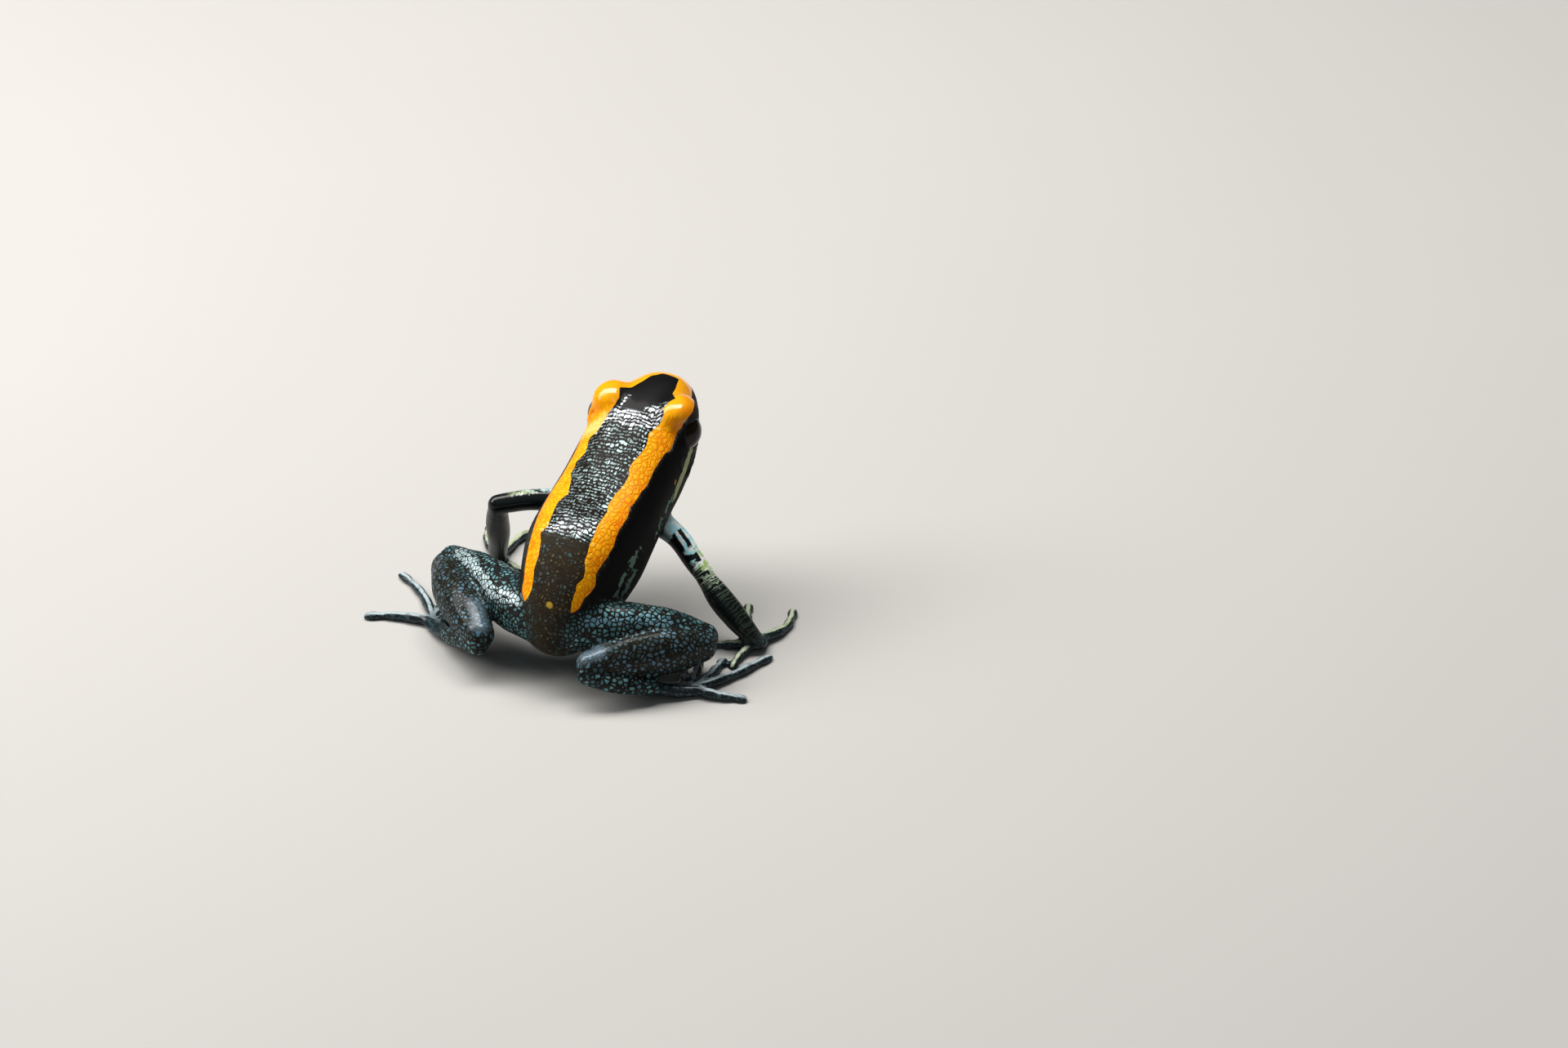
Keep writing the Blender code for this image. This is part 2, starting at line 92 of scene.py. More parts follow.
# A small pit on each side of the head: Y, Z, radius, depth and the height of its rim.
NOSTRIL = (-24.15, 14.95, 0.17, 0.26, 0.06)
EARDRUM = (-16.45, 13.1, 0.58, 0.06, 0.05)

# A limb segment is a row of stations: X, Y, Z, half width and half height. X is positive on both sides here.
UPPER_ARM = {
    "left": ((2.7, -14.3, 8.6, 1.10, 1.20), (5.6, -13.1, 8.9, 0.95, 1.00), (8.0, -12.0, 8.9, 0.86, 0.90),
             (10.1, -11.0, 8.5, 0.82, 0.84)),
    "right": ((2.7, -14.3, 8.6, 1.10, 1.20), (5.0, -13.8, 7.7, 0.95, 1.00), (6.8, -13.1, 6.5, 0.88, 0.92),
              (8.3, -12.4, 5.4, 0.84, 0.86)),
}
FOREARM = {
    "left": ((10.2, -11.15, 8.1, 0.82, 0.84), (10.75, -12.1, 6.0, 1.00, 1.04),
             (11.25, -13.0, 3.6, 0.92, 0.96), (11.8, -13.9, 1.45, 0.76, 0.72)),
    "right": ((8.5, -12.3, 5.1, 0.84, 0.86), (10.05, -11.85, 3.85, 1.06, 1.10),
              (11.65, -11.55, 2.45, 0.98, 1.02), (13.1, -11.35, 1.30, 0.80, 0.72)),
}
THIGH = {
    "left": ((1.8, -1.7, 5.3, 2.2, 2.4), (5.2, -3.3, 5.0, 2.1, 2.55), (9.0, -5.5, 4.95, 1.75, 2.0),
             (12.4, -7.2, 4.5, 1.25, 1.40)),
    "right": ((1.8, -1.7, 5.3, 2.1, 2.2), (4.9, -3.4, 4.8, 2.05, 2.2), (8.1, -5.4, 4.1, 1.80, 1.90),
              (10.6, -6.9, 3.2, 1.25, 1.35)),
}
SHANK = {
    "left": ((12.7, -6.4, 4.1, 1.30, 1.50), (10.9, -4.1, 4.15, 1.75, 2.05), (8.4, -1.6, 4.0, 1.75, 1.95),
             (6.0, 0.6, 3.6, 1.25, 1.30)),
    "right": ((10.8, -6.1, 3.0, 1.35, 1.50), (9.1, -4.2, 3.25, 1.75, 2.05), (6.6, -1.9, 3.35, 1.65, 1.95),
              (4.0, 0.5, 3.3, 1.15, 1.20)),
}
TARSUS = {
    "left": ((5.8, 1.4, 3.0, 0.80, 0.84), (7.7, 0.2, 2.3, 0.78, 0.80), (9.9, -1.4, 1.3, 0.76, 0.72)),
    "right": ((4.0, 1.3, 2.8, 0.82, 0.86), (6.0, 0.5, 2.1, 0.80, 0.82), (8.6, -1.4, 1.25, 0.76, 0.72)),
}
SOLE = {
    "left": ((10.6, -1.9, 0.90, 0.66, 0.56), (11.6, -2.8, 0.60, 0.82, 0.54), (12.6, -3.7, 0.46, 0.92, 0.52)),
    "right": ((9.3, -1.9, 0.90, 0.66, 0.56), (10.2, -2.7, 0.60, 0.82, 0.54), (11.2, -3.5, 0.46, 0.92, 0.52)),
}
PALM = {
    "left": ((11.9, -14.3, 0.78, 0.72, 0.55), (12.2, -14.9, 0.45, 0.95, 0.52)),
    "right": ((13.7, -11.4, 0.78, 0.72, 0.55), (13.3, -12.0, 0.45, 0.95, 0.52)),
}
LIMB_SEGMENTS = {
    "upper_arm": UPPER_ARM, "forearm": FOREARM, "palm": PALM,
    "thigh": THIGH, "shank": SHANK, "tarsus": TARSUS, "sole": SOLE,
}

# How far the skin is drawn together round the start of each limb segment, and round the digits' roots.
BEND_REACH = {
    "upper_arm": 2.6, "forearm": 1.4, "palm": 1.6, "thigh": 4.0, "shank": 1.9, "tarsus": 1.7, "sole": 1.3,
}
DIGIT_ROOT_REACH = 1.5

# A digit runs from its own root (X, Y) to its tip (X, Y), and bows sideways by the last value.
FINGERS = {
    "left": ((11.9, -14.2, 10.1, -11.2, 0.20), (11.7, -14.5, 8.3, -13.9, 0.30),
             (12.1, -15.2, 11.4, -20.9, -0.45), (12.6, -15.1, 15.4, -19.4, -0.50)),
    "right": ((13.2, -11.4, 12.7, -8.2, -0.20), (12.9, -11.7, 9.9, -10.5, 0.25),
              (12.9, -12.4, 10.2, -16.9, 0.30), (13.5, -12.5, 13.9, -17.7, -0.75)),
}
TOES = {
    "left": ((11.7, -3.7, 11.0, -6.7, 0.20), (12.2, -4.0, 12.2, -8.9, 0.25), (12.7, -4.1, 15.0, -10.9, 0.30),
             (12.9, -4.0, 18.7, -9.4, 0.50), (12.9, -3.6, 18.3, -2.6, 0.35)),
    "right": ((10.3, -3.5, 9.2, -6.1, -0.15), (10.8, -3.8, 9.9, -7.6, -0.20), (11.4, -3.9, 11.7, -8.6, -0.20),
              (11.6, -3.8, 14.9, -10.6, -0.35), (11.6, -3.4, 15.5, -4.2, -0.25)),
}
# Along a digit: share of its length, height of its axis, half width, half height. The last two are its disc.
DIGIT_STATIONS = (
    (0.00, 0.58, 0.46, 0.42),
    (0.16, 0.52, 0.41, 0.39),
    (0.32, 0.46, 0.45, 0.43),
    (0.48, 0.40, 0.36, 0.34),
    (0.62, 0.37, 0.41, 0.39),
    (0.80, 0.31, 0.30, 0.30),
    (0.90, 0.27, 0.46, 0.32),
    (1.00, 0.22, 0.42, 0.24),
)
LIMB_SIDES, LIMB_STEPS = 28, 6
DIGIT_SIDES, DIGIT_STEPS = 16, 3
CAP_STEPS, CAP_END = 6, 0.12

SKIN_VOXEL = 0.155
RIPPLE_DIRECTIONS = ((0.8, 0.5, 0.3), (-0.6, 0.7, 0.4), (0.2, -0.5, 0.85), (0.9, -0.1, -0.4))
RIPPLE_HEIGHT = 0.05
LIMB_REACH = 3.0  # how far from a limb its skin may lie

# The bright stripe on each side of the back: place along the stations, then the inner and outer edge in
# degrees from the back's midline.
STRIPE = {
    "right": {
        "inner": ((2.0, 42), (2.3, 37), (2.7, 36), (2.9, 34), (3.2, 38), (3.5, 35), (3.7, 31), (4.0, 30),
                  (4.3, 27), (4.6, 26.5), (4.9, 24), (5.7, 23), (6.0, 20), (6.5, 20), (6.8, 22), (7.3, 23),
                  (7.6, 20), (7.8, 20), (8.3, 24), (8.7, 26), (9.0, 24), (9.2, 22.5), (9.4, 25),
                  (9.8, 28.5), (10.0, 27), (10.2, 24), (10.6, 26), (11.0, 29.5), (11.2, 28), (11.9, 26),
                  (12.6, 26.5), (13.1, 25), (13.5, 24), (13.9, 26), (14.4, 17), (14.6, 0)),
        "outer": ((2.0, 44), (2.3, 50), (2.7, 50), (3.0, 53), (3.3, 54), (3.6, 48), (4.3, 48.5), (4.8, 47),
                  (5.1, 43.5), (5.5, 41.5), (6.0, 41), (6.4, 38), (6.8, 40), (7.1, 40), (7.5, 43),
                  (8.1, 42.5), (8.6, 44.5), (9.0, 46), (9.3, 49.5), (9.6, 49), (10.1, 47), (10.3, 45),
                  (11.0, 46), (12.1, 45), (12.8, 50), (14.1, 49), (14.8, 44), (15.2, 25), (15.4, 0)),
    },
    "left": {
        "inner": ((2.0, 43), (2.1, 35), (2.3, 29), (2.6, 27), (3.0, 28), (3.5, 25), (4.0, 27), (4.3, 31),
                  (4.6, 24.5), (5.1, 26), (5.7, 28), (6.1, 23), (6.5, 27), (6.8, 30), (7.1, 35), (7.4, 35),
                  (7.6, 37), (7.9, 32), (8.2, 33), (8.5, 35.5), (8.7, 35.5), (8.8, 31), (9.4, 28),
                  (9.7, 27), (9.9, 24), (10.1, 22), (10.4, 21), (10.6, 22), (11.0, 24.5), (11.3, 23),
                  (11.5, 20), (11.9, 18.5), (12.2, 16), (12.6, 13.5), (13.0, 12.5), (13.2, 7), (13.5, 3.5),
                  (13.9, 0)),
        "outer": ((2.0, 45), (2.5, 52), (2.8, 46), (3.2, 46), (3.6, 45), (4.1, 44), (4.9, 45), (5.8, 49),
                  (6.6, 52), (7.2, 50), (8.4, 51), (9.4, 57), (10.2, 62), (11.2, 62), (12.0, 48),
                  (12.8, 48), (14.1, 47), (14.8, 44), (15.2, 25), (15.4, 0)),
    },
}
STRIPE_FRONT = 13.6  # the place in front of which the two stripes meet across the snout
# Thin pale lines: place, degrees from the back's midline, half width in millimetres.
LIP_LINE = (
    (8.9, 95, 0.12), (9.2, 90, 0.55), (9.6, 86, 0.52), (10.0, 84, 0.46), (10.5, 79, 0.48), (10.9, 76, 0.48),
    (11.3, 74, 0.40), (11.7, 75, 0.24), (12.3, 77, 0.12), (13.2, 79, 0.08), (14.2, 80, 0.05),
)
FLANK_LINES = {
    "right": (
        ((3.9, 90, 0.14), (4.2, 87, 0.30), (4.5, 81, 0.34), (4.9, 78, 0.28), (5.2, 76, 0.34),
         (5.8, 73, 0.16)),
        ((4.2, 101, 0.15), (4.4, 99, 0.34), (5.1, 92, 0.30), (5.5, 90, 0.10)),
        ((7.2, 88, 0.12), (7.6, 87, 0.30), (8.1, 88, 0.22), (8.7, 86, 0.26), (9.0, 86, 0.08)),
    ),
    "left": (
        ((3.9, 96, 0.10), (4.4, 91, 0.30), (5.0, 85, 0.26), (5.6, 78, 0.30), (6.1, 73, 0.10)),
        ((4.4, 103, 0.12), (4.8, 99, 0.32), (5.4, 96, 0.10)),
        ((7.3, 89, 0.12), (7.8, 87, 0.30), (8.6, 88, 0.08)),
    ),
}
# The yellow spots on the rump and behind the jaw: millimetres across and along the skin, radius, colour.
YELLOW_SPOTS = (
    (-0.30, 3.45, 0.27, (0.50, 0.31, 0.04, 1.0)),
    (-6.70, 21.60, 0.16, (0.55, 0.25, 0.02, 1.0)),
)
# Painted sheen: how silvery and bright the grains of the back are painted where they catch the light: place,
# share.
PAINTED_SHEEN = (
    (4.1, 0.30), (4.4, 0.55), (4.8, 0.62), (5.4, 0.50), (6.2, 0.48), (7.1, 0.50), (7.5, 0.40), (7.9, 0.36),
    (8.3, 0.48), (9.1, 0.48), (9.35, 0.80), (9.6, 1.05), (10.1, 0.95), (10.5, 0.55), (10.9, 0.30),
)
# Patches of painted highlight (brighter) and painted shade (darker) on the back's grains: millimetres across
# and along the back, half width, half length, change.
PAINTED_SHEEN_PATCHES = (
    (1.60, 9.85, 1.00, 0.28, 0.75), (0.20, 10.30, 1.60, 0.45, 0.25), (0.80, 18.50, 0.95, 0.28, -0.40),
    (2.20, 17.50, 0.75, 0.26, -0.50), (-1.45, 16.90, 0.50, 0.42, -0.40), (1.90, 20.90, 0.50, 0.90, 0.20),
)
GRAIN_FRONT = 9.98  # the place where the granular skin ends and the smooth crown begins
# A short painted highlight streak on the crown: across and along at its start and at its end, and half width.
PAINTED_GLEAM = 1.66, 23.0, 1.22, 24.9, 0.13
# Painted highlights on the thighs and the heels: half width, strength and a line of points.
PAINTED_THIGH_GLINTS = (
    (0.50, 1.0, ((11.4, -6.3, 6.3), (9.2, -4.5, 6.7), (7.6, -3.1, 6.6), (6.1, -1.8, 6.4), (4.1, -1.0, 6.8),
                 (2.8, -0.5, 7.1))),
    (0.45, 0.55, ((-3.4, -0.7, 6.5), (-4.4, -1.5, 6.7), (-5.8, -2.5, 6.5), (-7.1, -3.4, 6.2),
                  (-8.6, -4.3, 5.7))),
)
PAINTED_HEEL_GLINTS = (
    (0.70, 0.7, ((6.9, -0.9, 5.4), (5.7, 0.9, 4.8))),
    (0.65, 0.9, ((-4.6, 0.2, 4.6), (-3.7, 0.9, 4.3))),
)
# Where each limb segment's own millimetres begin, from the shoulder or from the hip.
LIMB_STARTS = {
    "upper_arm": 0.0, "forearm": 8.0, "palm": 15.5, "finger": 17.0,
    "thigh": 30.0, "shank": 42.0, "tarsus": 52.0, "sole": 57.5, "toe": 60.5,
}
LIMB_BLEND = 0.22  # how softly one part's markings pass into the next one's
MARKING_REACH = 1.6  # how far outside the body's own form its markings still lie
UNMARKED = -2.0  # the value of a marking far outside its edge
BLACK_SKIN = (0.0040, 0.0038, 0.0042, 1.0)


def blend(rows, place):
    """Read a table of stations smoothly at a place between two of its rows."""
    last = len(rows) - 1
    start = min(int(place), last - 1)
    part = place - start
    before, here = rows[max(start - 1, 0)], rows[start]
    there, after = rows[start + 1], rows[min(start + 2, last)]
    curve = (
        2.0 * here
        + (there - before) * part
        + (2.0 * before - 5.0 * here + 4.0 * there - after) * part**2
        + (3.0 * here - before - 3.0 * there + after) * part**3
    )
    return curve / 2.0


def on_side(point, way):
    """A point or a direction of the left side, mirrored to the right where way is -1."""
    return np.array((point[0] * way, *point[1:]))


def places(rows, steps):
    return np.linspace(0.0, len(rows) - 1.0, (len(rows) - 1) * steps + 1)


def body_point(station, angle):
    """A point of a body section, at an angle from the back's midline towards the left."""
    top_y, top_z, low_y, low_z, half_width, level, top_square, low_square = station
    top, low = Vector((0.0, top_y, top_z)), Vector((0.0, low_y, low_z))
    depth = (top - low).length
    rise_axis = (top - low) / depth
    across, along = math.sin(angle), math.cos(angle)
    reach = (1.0 - level) * depth if along > 0.0 else level * depth
    square = top_square if along > 0.0 else low_square
    x = math.copysign(abs(across) ** (2.0 / square), across) * half_width
    rise = math.copysign(abs(along) ** (2.0 / square), along) * reach
    return low + rise_axis * (level * depth + rise) + Vector((x, 0.0, 0.0))


def body_rings():
    rings = []
    for place in places(BODY_STATIONS, BODY_STEPS):
        station = blend(BODY_STATIONS, place)
        rings.append([body_point(station, math.tau * side / BODY_SIDES) for side in range(BODY_SIDES)])
    return rings


def tube_rings(stations, sides, steps):
    """Oval rings along a smooth path, closed by rounded ends."""
    rows = np.array(stations)
    path = [blend(rows, place) for place in places(rows, steps)]
    rings = []
    for index, row in enumerate(path):
        ahead = Vector(path[min(index + 1, len(path) - 1)][:3])
        tangent = (ahead - Vector(path[max(index - 1, 0)][:3])).normalized()
        side_axis = tangent.cross(UP).normalized()
        high_axis = side_axis.cross(tangent)
        centre, wide, high = Vector(row[:3]), row[3], row[4]
        ends = {0: -1.0, len(path) - 1: 1.0}.get(index, 0.0)
        turns = [math.pi / 2.0 * step / (CAP_STEPS + 1) for step in range(CAP_STEPS + 1)] if ends else [0.0]
        closing = []
        for turn in turns:
            size = max(math.cos(turn), CAP_END)
            middle = centre + tangent * (ends * math.sin(turn) * (wide + high) / 2.0)
            closing.append([
                middle
                + side_axis * (wide * size * math.cos(angle))
                + high_axis * (high * size * math.sin(angle))
                for angle in (math.tau * side / sides for side in range(sides))
            ])
        rings.extend(reversed(closing) if ends < 0.0 else closing)
    return rings


def add_loft(shell, rings):
    """Bridge closed rings of equal count, with a cap at both ends."""
    part = bmesh.new()
    previous = None
    for index, ring in enumerate(rings):
        ends = index in (0, len(rings) - 1)
        circle = bmesh.ops.create_circle(part, segments=len(ring), radius=1.0, cap_ends=ends)["verts"]
        for vert, point in zip(circle, ring):
            vert.co = point
        edges = list({edge for vert in circle for edge in vert.link_edges})
        if previous:
            bmesh.ops.bridge_loops(part, edges=previous + edges)
        previous = edges
    mesh = bpy.data.meshes.new("loft")
    part.to_mesh(mesh)
    part.free()
    shell.from_mesh(mesh)
    bpy.data.meshes.remove(mesh)


def add_ball(shell, centre, radii, tilt=0.0, sides=40, rings=24):
    place = Matrix.Translation(centre) @ Matrix.Rotation(tilt, 4, "X") @ Matrix.Diagonal((*radii, 1.0))
    bmesh.ops.create_uvsphere(shell, u_segments=sides, v_segments=rings, radius=1.0, matrix=place)


def add_bead(shell, centre, axis, radius, thickness, sides=48, around=14):
    """A torus: a small circle spun about the axis."""
    turn = axis.to_track_quat("Z", "Y").to_matrix().to_4x4()
    place = Matrix.Translation(centre) @ turn @ Matrix.Translation((radius, 0.0, 0.0))
    upright = Matrix.Rotation(math.pi / 2.0, 4, "X")
    made = bmesh.ops.create_circle(shell, segments=around, radius=thickness, matrix=place @ upright)
    circle = made["verts"]
    geometry = circle + list({edge for vert in circle for edge in vert.link_edges})
    bmesh.ops.spin(
        shell, geom=geometry, cent=centre, axis=axis, angle=math.tau, steps=sides, use_merge=True,
        use_duplicate=False,
    )


def mirrored(stations, way):
    return [(station[0] * way, *station[1:]) for station in stations]


def digit_stations(root_x, root_y, tip_x, tip_y, bow):
    root, tip = Vector((root_x, root_y, 0.0)), Vector((tip_x, tip_y, 0.0))
    across = (tip - root).normalized().cross(UP)
    stations = []
    for share, height, wide, high in DIGIT_STATIONS:
        spot = root.lerp(tip, share) + across * (bow * math.sin(math.pi * share))
        stations.append((spot.x, spot.y, height, wide, high))
    return stations


def mouth_height(y):
    return MOUTH_FRONT_Z - MOUTH_FALL * (y - MOUTH_FRONT_Y)


def section_turn(degrees, top_square, low_square):
    """The turn of a section's outline at an angle from the back's midline, seen from the section's middle."""
    angle = np.radians(degrees)
    square = np.where(angle < math.pi / 2.0, top_square, low_square) / 2.0
    return np.arctan2(np.sin(angle) ** square, np.sign(np.cos(angle)) * np.abs(np.cos(angle)) ** square)


class BodyMap:
    """Places on the body's surface, for any points near it: station, degrees from the back's midline, and
    distances in millimetres across and along the skin."""

    STEPS = 8
    ANGLES = 121

    def __init__(self):
        self.places = places(BODY_STATIONS, self.STEPS)
        self.rows = np.array([blend(BODY_STATIONS, place) for place in self.places])
        turns = np.linspace(0.0, math.pi, self.ANGLES)
        rings = np.array([[body_point(row, turn) for turn in turns] for row in self.rows])
        steps = np.linalg.norm(np.diff(rings, axis=1), axis=2)
        self.across = np.concatenate([np.zeros((len(rings), 1)), np.cumsum(steps, axis=1)], axis=1)
        back = np.linalg.norm(np.diff(rings[:, 0], axis=0), axis=1)
        self.along = np.concatenate([[0.0], np.cumsum(back)])

    def read(self, points):
        top, low = self.rows[:, 0:2], self.rows[:, 2:4]
        depth = np.linalg.norm(top - low, axis=1)
        rise_axis = (top - low) / depth[:, None]
        ahead = np.stack([-rise_axis[:, 1], rise_axis[:, 0]], axis=1)
        offset = points[:, 1:3] @ ahead.T - np.sum(low * ahead, axis=1)
        nearest = np.abs(offset).argmin(axis=1)
        row = np.arange(len(points))
        here = offset[row, nearest]
        step = np.where(here > 0.0, 1, -1)
        other = np.clip(nearest + step, 0, len(self.places) - 1)
        there = offset[row, other]
        turned = np.sign(here) != np.sign(there)
        gap = np.where(turned, here - there, 1.0)
        index = nearest + np.where(turned, here / gap, 0.0) * (other - nearest)
        self.index = np.clip(index, 0.0, len(self.places) - 1.0)
        numbers = np.arange(len(self.places))
        field = np.array([np.interp(self.index, numbers, column) for column in self.rows.T]).T
        field_top, field_low = field[:, 0:2], field[:, 2:4]
        field_depth = np.linalg.norm(field_top - field_low, axis=1)
        field_axis = (field_top - field_low) / field_depth[:, None]
        share = np.sum((points[:, 1:3] - field_low) * field_axis, axis=1) / field_depth
        level, half_width = field[:, 5], field[:, 4]
        reach = np.where(share > level, 1.0 - level, level)
        rise = (share - level) / reach
        wide = np.abs(points[:, 0]) / half_width
        self.squares = field[:, 6:8].T
        square = np.where(share > level, *self.squares)
        ratio = (wide**square + np.abs(rise) ** square) ** (1.0 / square)
        self.place = self.index / self.STEPS
        self.angle = np.degrees(np.arctan2(wide, rise))
        self.outside = (ratio - 1.0) * np.minimum(half_width, reach * field_depth)
        self.u = self.width_at(self.angle)
        self.v = np.interp(self.index, numbers, self.along)
        return self

    def width_at(self, angle):
        """Millimetres across the skin from the back's midline to an angle, at each point's own place."""
        column = section_turn(np.clip(angle, 0.0, 180.0), *self.squares) / math.pi * (self.ANGLES - 1)
        i0 = np.clip(self.index.astype(int), 0, len(self.places) - 2)
        j0 = np.clip(column.astype(int), 0, self.ANGLES - 2)
        fi, fj = self.index - i0, column - j0
        near = self.across[i0, j0] * (1 - fj) + self.across[i0, j0 + 1] * fj
        far = self.across[i0 + 1, j0] * (1 - fj) + self.across[i0 + 1, j0 + 1] * fj
        return near * (1 - fi) + far * fi

    def table(self, rows):
        """A table of place and value, read at each point's own place."""
        spots, values = np.array(rows, dtype=float).T
        return np.interp(self.place, spots, values)

    def line(self, rows):
        """How deep a point lies inside a line over the skin, in millimetres: place, angle and half width."""
        angles = self.table([row[:2] for row in rows])
        half = self.table([(row[0], row[2]) for row in rows])
        ends = np.minimum(self.place - rows[0][0], rows[-1][0] - self.place) * 1.5
        return np.minimum(half - np.abs(self.u - self.width_at(angles)), ends + 0.1)


def limb_map(points, stations):
    """For each point: distance from a limb segment's skin, millimetres along it, and offset sideways."""
    rows = np.array([blend(np.array(stations), place) for place in places(stations, 4)])
    best = np.full(len(points), np.inf)
    run, side = np.zeros(len(points)), np.zeros(len(points))
    low, high = rows[:, :3].min(axis=0) - LIMB_REACH, rows[:, :3].max(axis=0) + LIMB_REACH
    close = np.nonzero(np.all((points > low) & (points < high), axis=1))[0]
    start = 0.0
    for near, far in zip(rows[:-1], rows[1:]):
        line = far[:3] - near[:3]
        length = np.linalg.norm(line)
        share = np.clip((points[close] - near[:3]) @ line / length**2, 0.0, 1.0)
        centre = near[:3] + share[:, None] * line
        radius = near[3:5].mean() + share * (far[3:5].mean() - near[3:5].mean())
        distance = np.linalg.norm(points[close] - centre, axis=1) - radius
        closer = distance < best[close]
        chosen = close[closer]
        best[chosen] = distance[closer]
        run[chosen] = (start + share * length)[closer]
        flat = np.array([line[1], -line[0]]) / max(np.linalg.norm(line[:2]), 1e-6)
        side[chosen] = ((points[close] - centre)[:, :2] @ flat)[closer]
        start += length
    return best, run, side


class Skin:
    """The skin's mesh as arrays, for moves like a sculptor's."""

    def __init__(self, mesh):
        self.mesh = mesh
        self.points = self.read("vertices", "co", 3)
        self.edges = self.read("edges", "vertices", 2, np.int32)
        self.count = len(self.points)
        self.degree = np.bincount(self.edges.ravel(), minlength=self.count).astype(float)

    def read(self, group, field, width, kind=np.float32):
        items = getattr(self.mesh, group)
        values = np.empty(len(items) * width, dtype=kind)
        items.foreach_get(field, values)
        return values.reshape(-1, width).astype(int if kind is np.int32 else float)

    def write(self):
        self.mesh.vertices.foreach_set("co", self.points.astype(np.float32).ravel())
        self.mesh.update()

    def normals(self):
        self.write()
        values = np.empty(self.count * 3, dtype=np.float32)
        self.mesh.vertex_normals.foreach_get("vector", values)
        return values.reshape(-1, 3).astype(float)

    def area(self, weight):
        """The points that have a weight, and each of their edges from its own end to the other."""
        here = np.nonzero(weight > 0.001)[0]
        number = np.full(self.count, -1)
        number[here] = np.arange(len(here))
        pairs = np.concatenate([self.edges, self.edges[:, ::-1]])
        pairs = pairs[number[pairs[:, 0]] >= 0]
        return here, number[pairs[:, 0]], pairs[:, 1]

    def towards_average(self, area):
        here, own, other = area
        total = [np.bincount(own, self.points[other, axis], len(here)) for axis in range(3)]
        return np.stack(total, axis=1) / self.degree[here][:, None] - self.points[here]

    def relax(self, passes, weight=None, shrink=0.5, grow=-0.53):
        """Smooth the shape, and keep its volume where the two amounts nearly cancel."""
        weight = np.ones(self.count) if weight is None else weight
        area = self.area(weight)
        here = area[0]
        for _ in range(passes):
            for amount in (shrink, grow):
                if amount:
                    self.points[here] += self.towards_average(area) * weight[here][:, None] * amount

    def fill(self, passes, weight):
        """Raise only the hollow places, so that one form flows into the next."""
        area = self.area(weight)
        here = area[0]
        for step in range(passes):
            if step % 10 == 0:
                normals = self.normals()[here]
            rise = np.sum(self.towards_average(area) * normals, axis=1)
            self.points[here] += normals * (np.maximum(rise, 0.0) * weight[here])[:, None]

    def push(self, distance):
        """Move every point along its normal."""
        self.points += self.normals() * distance[:, None]

    def attribute(self, name, values):
        if values.ndim == 1:
            layer = self.mesh.attributes.new(name, "FLOAT", "POINT")
            layer.data.foreach_set("value", values.astype(np.float32))
        else:
            layer = self.mesh.attributes.new(name, "FLOAT_VECTOR", "POINT")
            layer.data.foreach_set("vector", values.astype(np.float32).ravel())


def hump(distance, width):
    return np.exp(-((distance / width) ** 2))


def smoothstep(value, low, high):
    share = np.clip((value - low) / (high - low), 0.0, 1.0)
    return share * share * (3.0 - 2.0 * share)


def ripple(points, length):
    """Slow, uneven waves between -1 and 1, for flesh that isn't a turned shape."""
    total = np.zeros(len(points))
    for index, direction in enumerate(RIPPLE_DIRECTIONS):
        total += np.sin(points @ (np.array(direction) * (math.tau / length)) + 1.7 * index)
    return total / len(RIPPLE_DIRECTIONS)


def painted_glint_streaks(points, lines):
    """How far each point lies inside any of some soft streaks: the painted highlights on the thighs and
    heels.
    """
    total = np.zeros(len(points))
    for half, strength, line in lines:
        distance = np.full(len(points), np.inf)
        for near, far in zip(np.array(line[:-1]), np.array(line[1:])):
            way = far - near
            share = np.clip((points - near) @ way / (way @ way), 0.0, 1.0)
            distance = np.minimum(distance, np.linalg.norm(points - near - share[:, None] * way, axis=1))
        total = np.maximum(total, strength * smoothstep(half - distance, -0.45, 0.35))
    return total


def upper_lip():
    """A bead that follows the upper edge of the mouth round the snout."""
    stations = []
    heights = [(y, mouth_height(y) + LIP_RADIUS) for y in np.linspace(MOUTH_CORNER_Y, -24.6, 14)]
    grid = [
        body_point(blend(BODY_STATIONS, place), angle)
        for place in np.linspace(8.5, 17.0, 120) for angle in np.linspace(0.3 * math.pi, math.pi, 70)
    ]
    grid = np.array(grid)
    side = [grid[((grid[:, 1] - y) ** 2 + (grid[:, 2] - z) ** 2).argmin()] for y, z in heights]
    front = (0.0, MOUTH_FRONT_Y + LIP_RADIUS / 2.0, mouth_height(MOUTH_FRONT_Y) + LIP_RADIUS)
    ring = [*side, np.array(front), *(point * (-1.0, 1.0, 1.0) for point in reversed(side))]
    inward = np.array((0.0, -20.0, 13.0))
    for point in ring:
        flat = (inward - point) * (1.0, 1.0, 0.0)
        centre = point + flat / np.linalg.norm(flat) * (LIP_RADIUS * 0.45)
        stations.append((*centre, LIP_RADIUS, LIP_RADIUS))
    return stations


def rough_skin():
    """Every form of the frog as closed shells that overlap, in one mesh."""
    shell = bmesh.new()
    add_loft(shell, body_rings())
    add_loft(shell, tube_rings(upper_lip(), 14, 2))
    for side, way in SIDES:
        add_ball(shell, on_side(LID_CENTRE, way), LID_RADII, LID_TILT)
        rim = Vector(on_side(EYE_CENTRE, way)) + Vector(on_side(RIM_OFFSET, way))
        add_bead(shell, rim, Vector(on_side(RIM_FACING, way)), RIM_RADIUS, RIM_THICKNESS)
        for table in LIMB_SEGMENTS.values():
            add_loft(shell, tube_rings(mirrored(table[side], way), LIMB_SIDES, LIMB_STEPS))
        for row in FINGERS[side] + TOES[side]:
            add_loft(shell, tube_rings(mirrored(digit_stations(*row), way), DIGIT_SIDES, DIGIT_STEPS))
    bmesh.ops.remove_doubles(shell, verts=shell.verts, dist=0.0005)
    bmesh.ops.recalc_face_normals(shell, faces=shell.faces)
    return shell


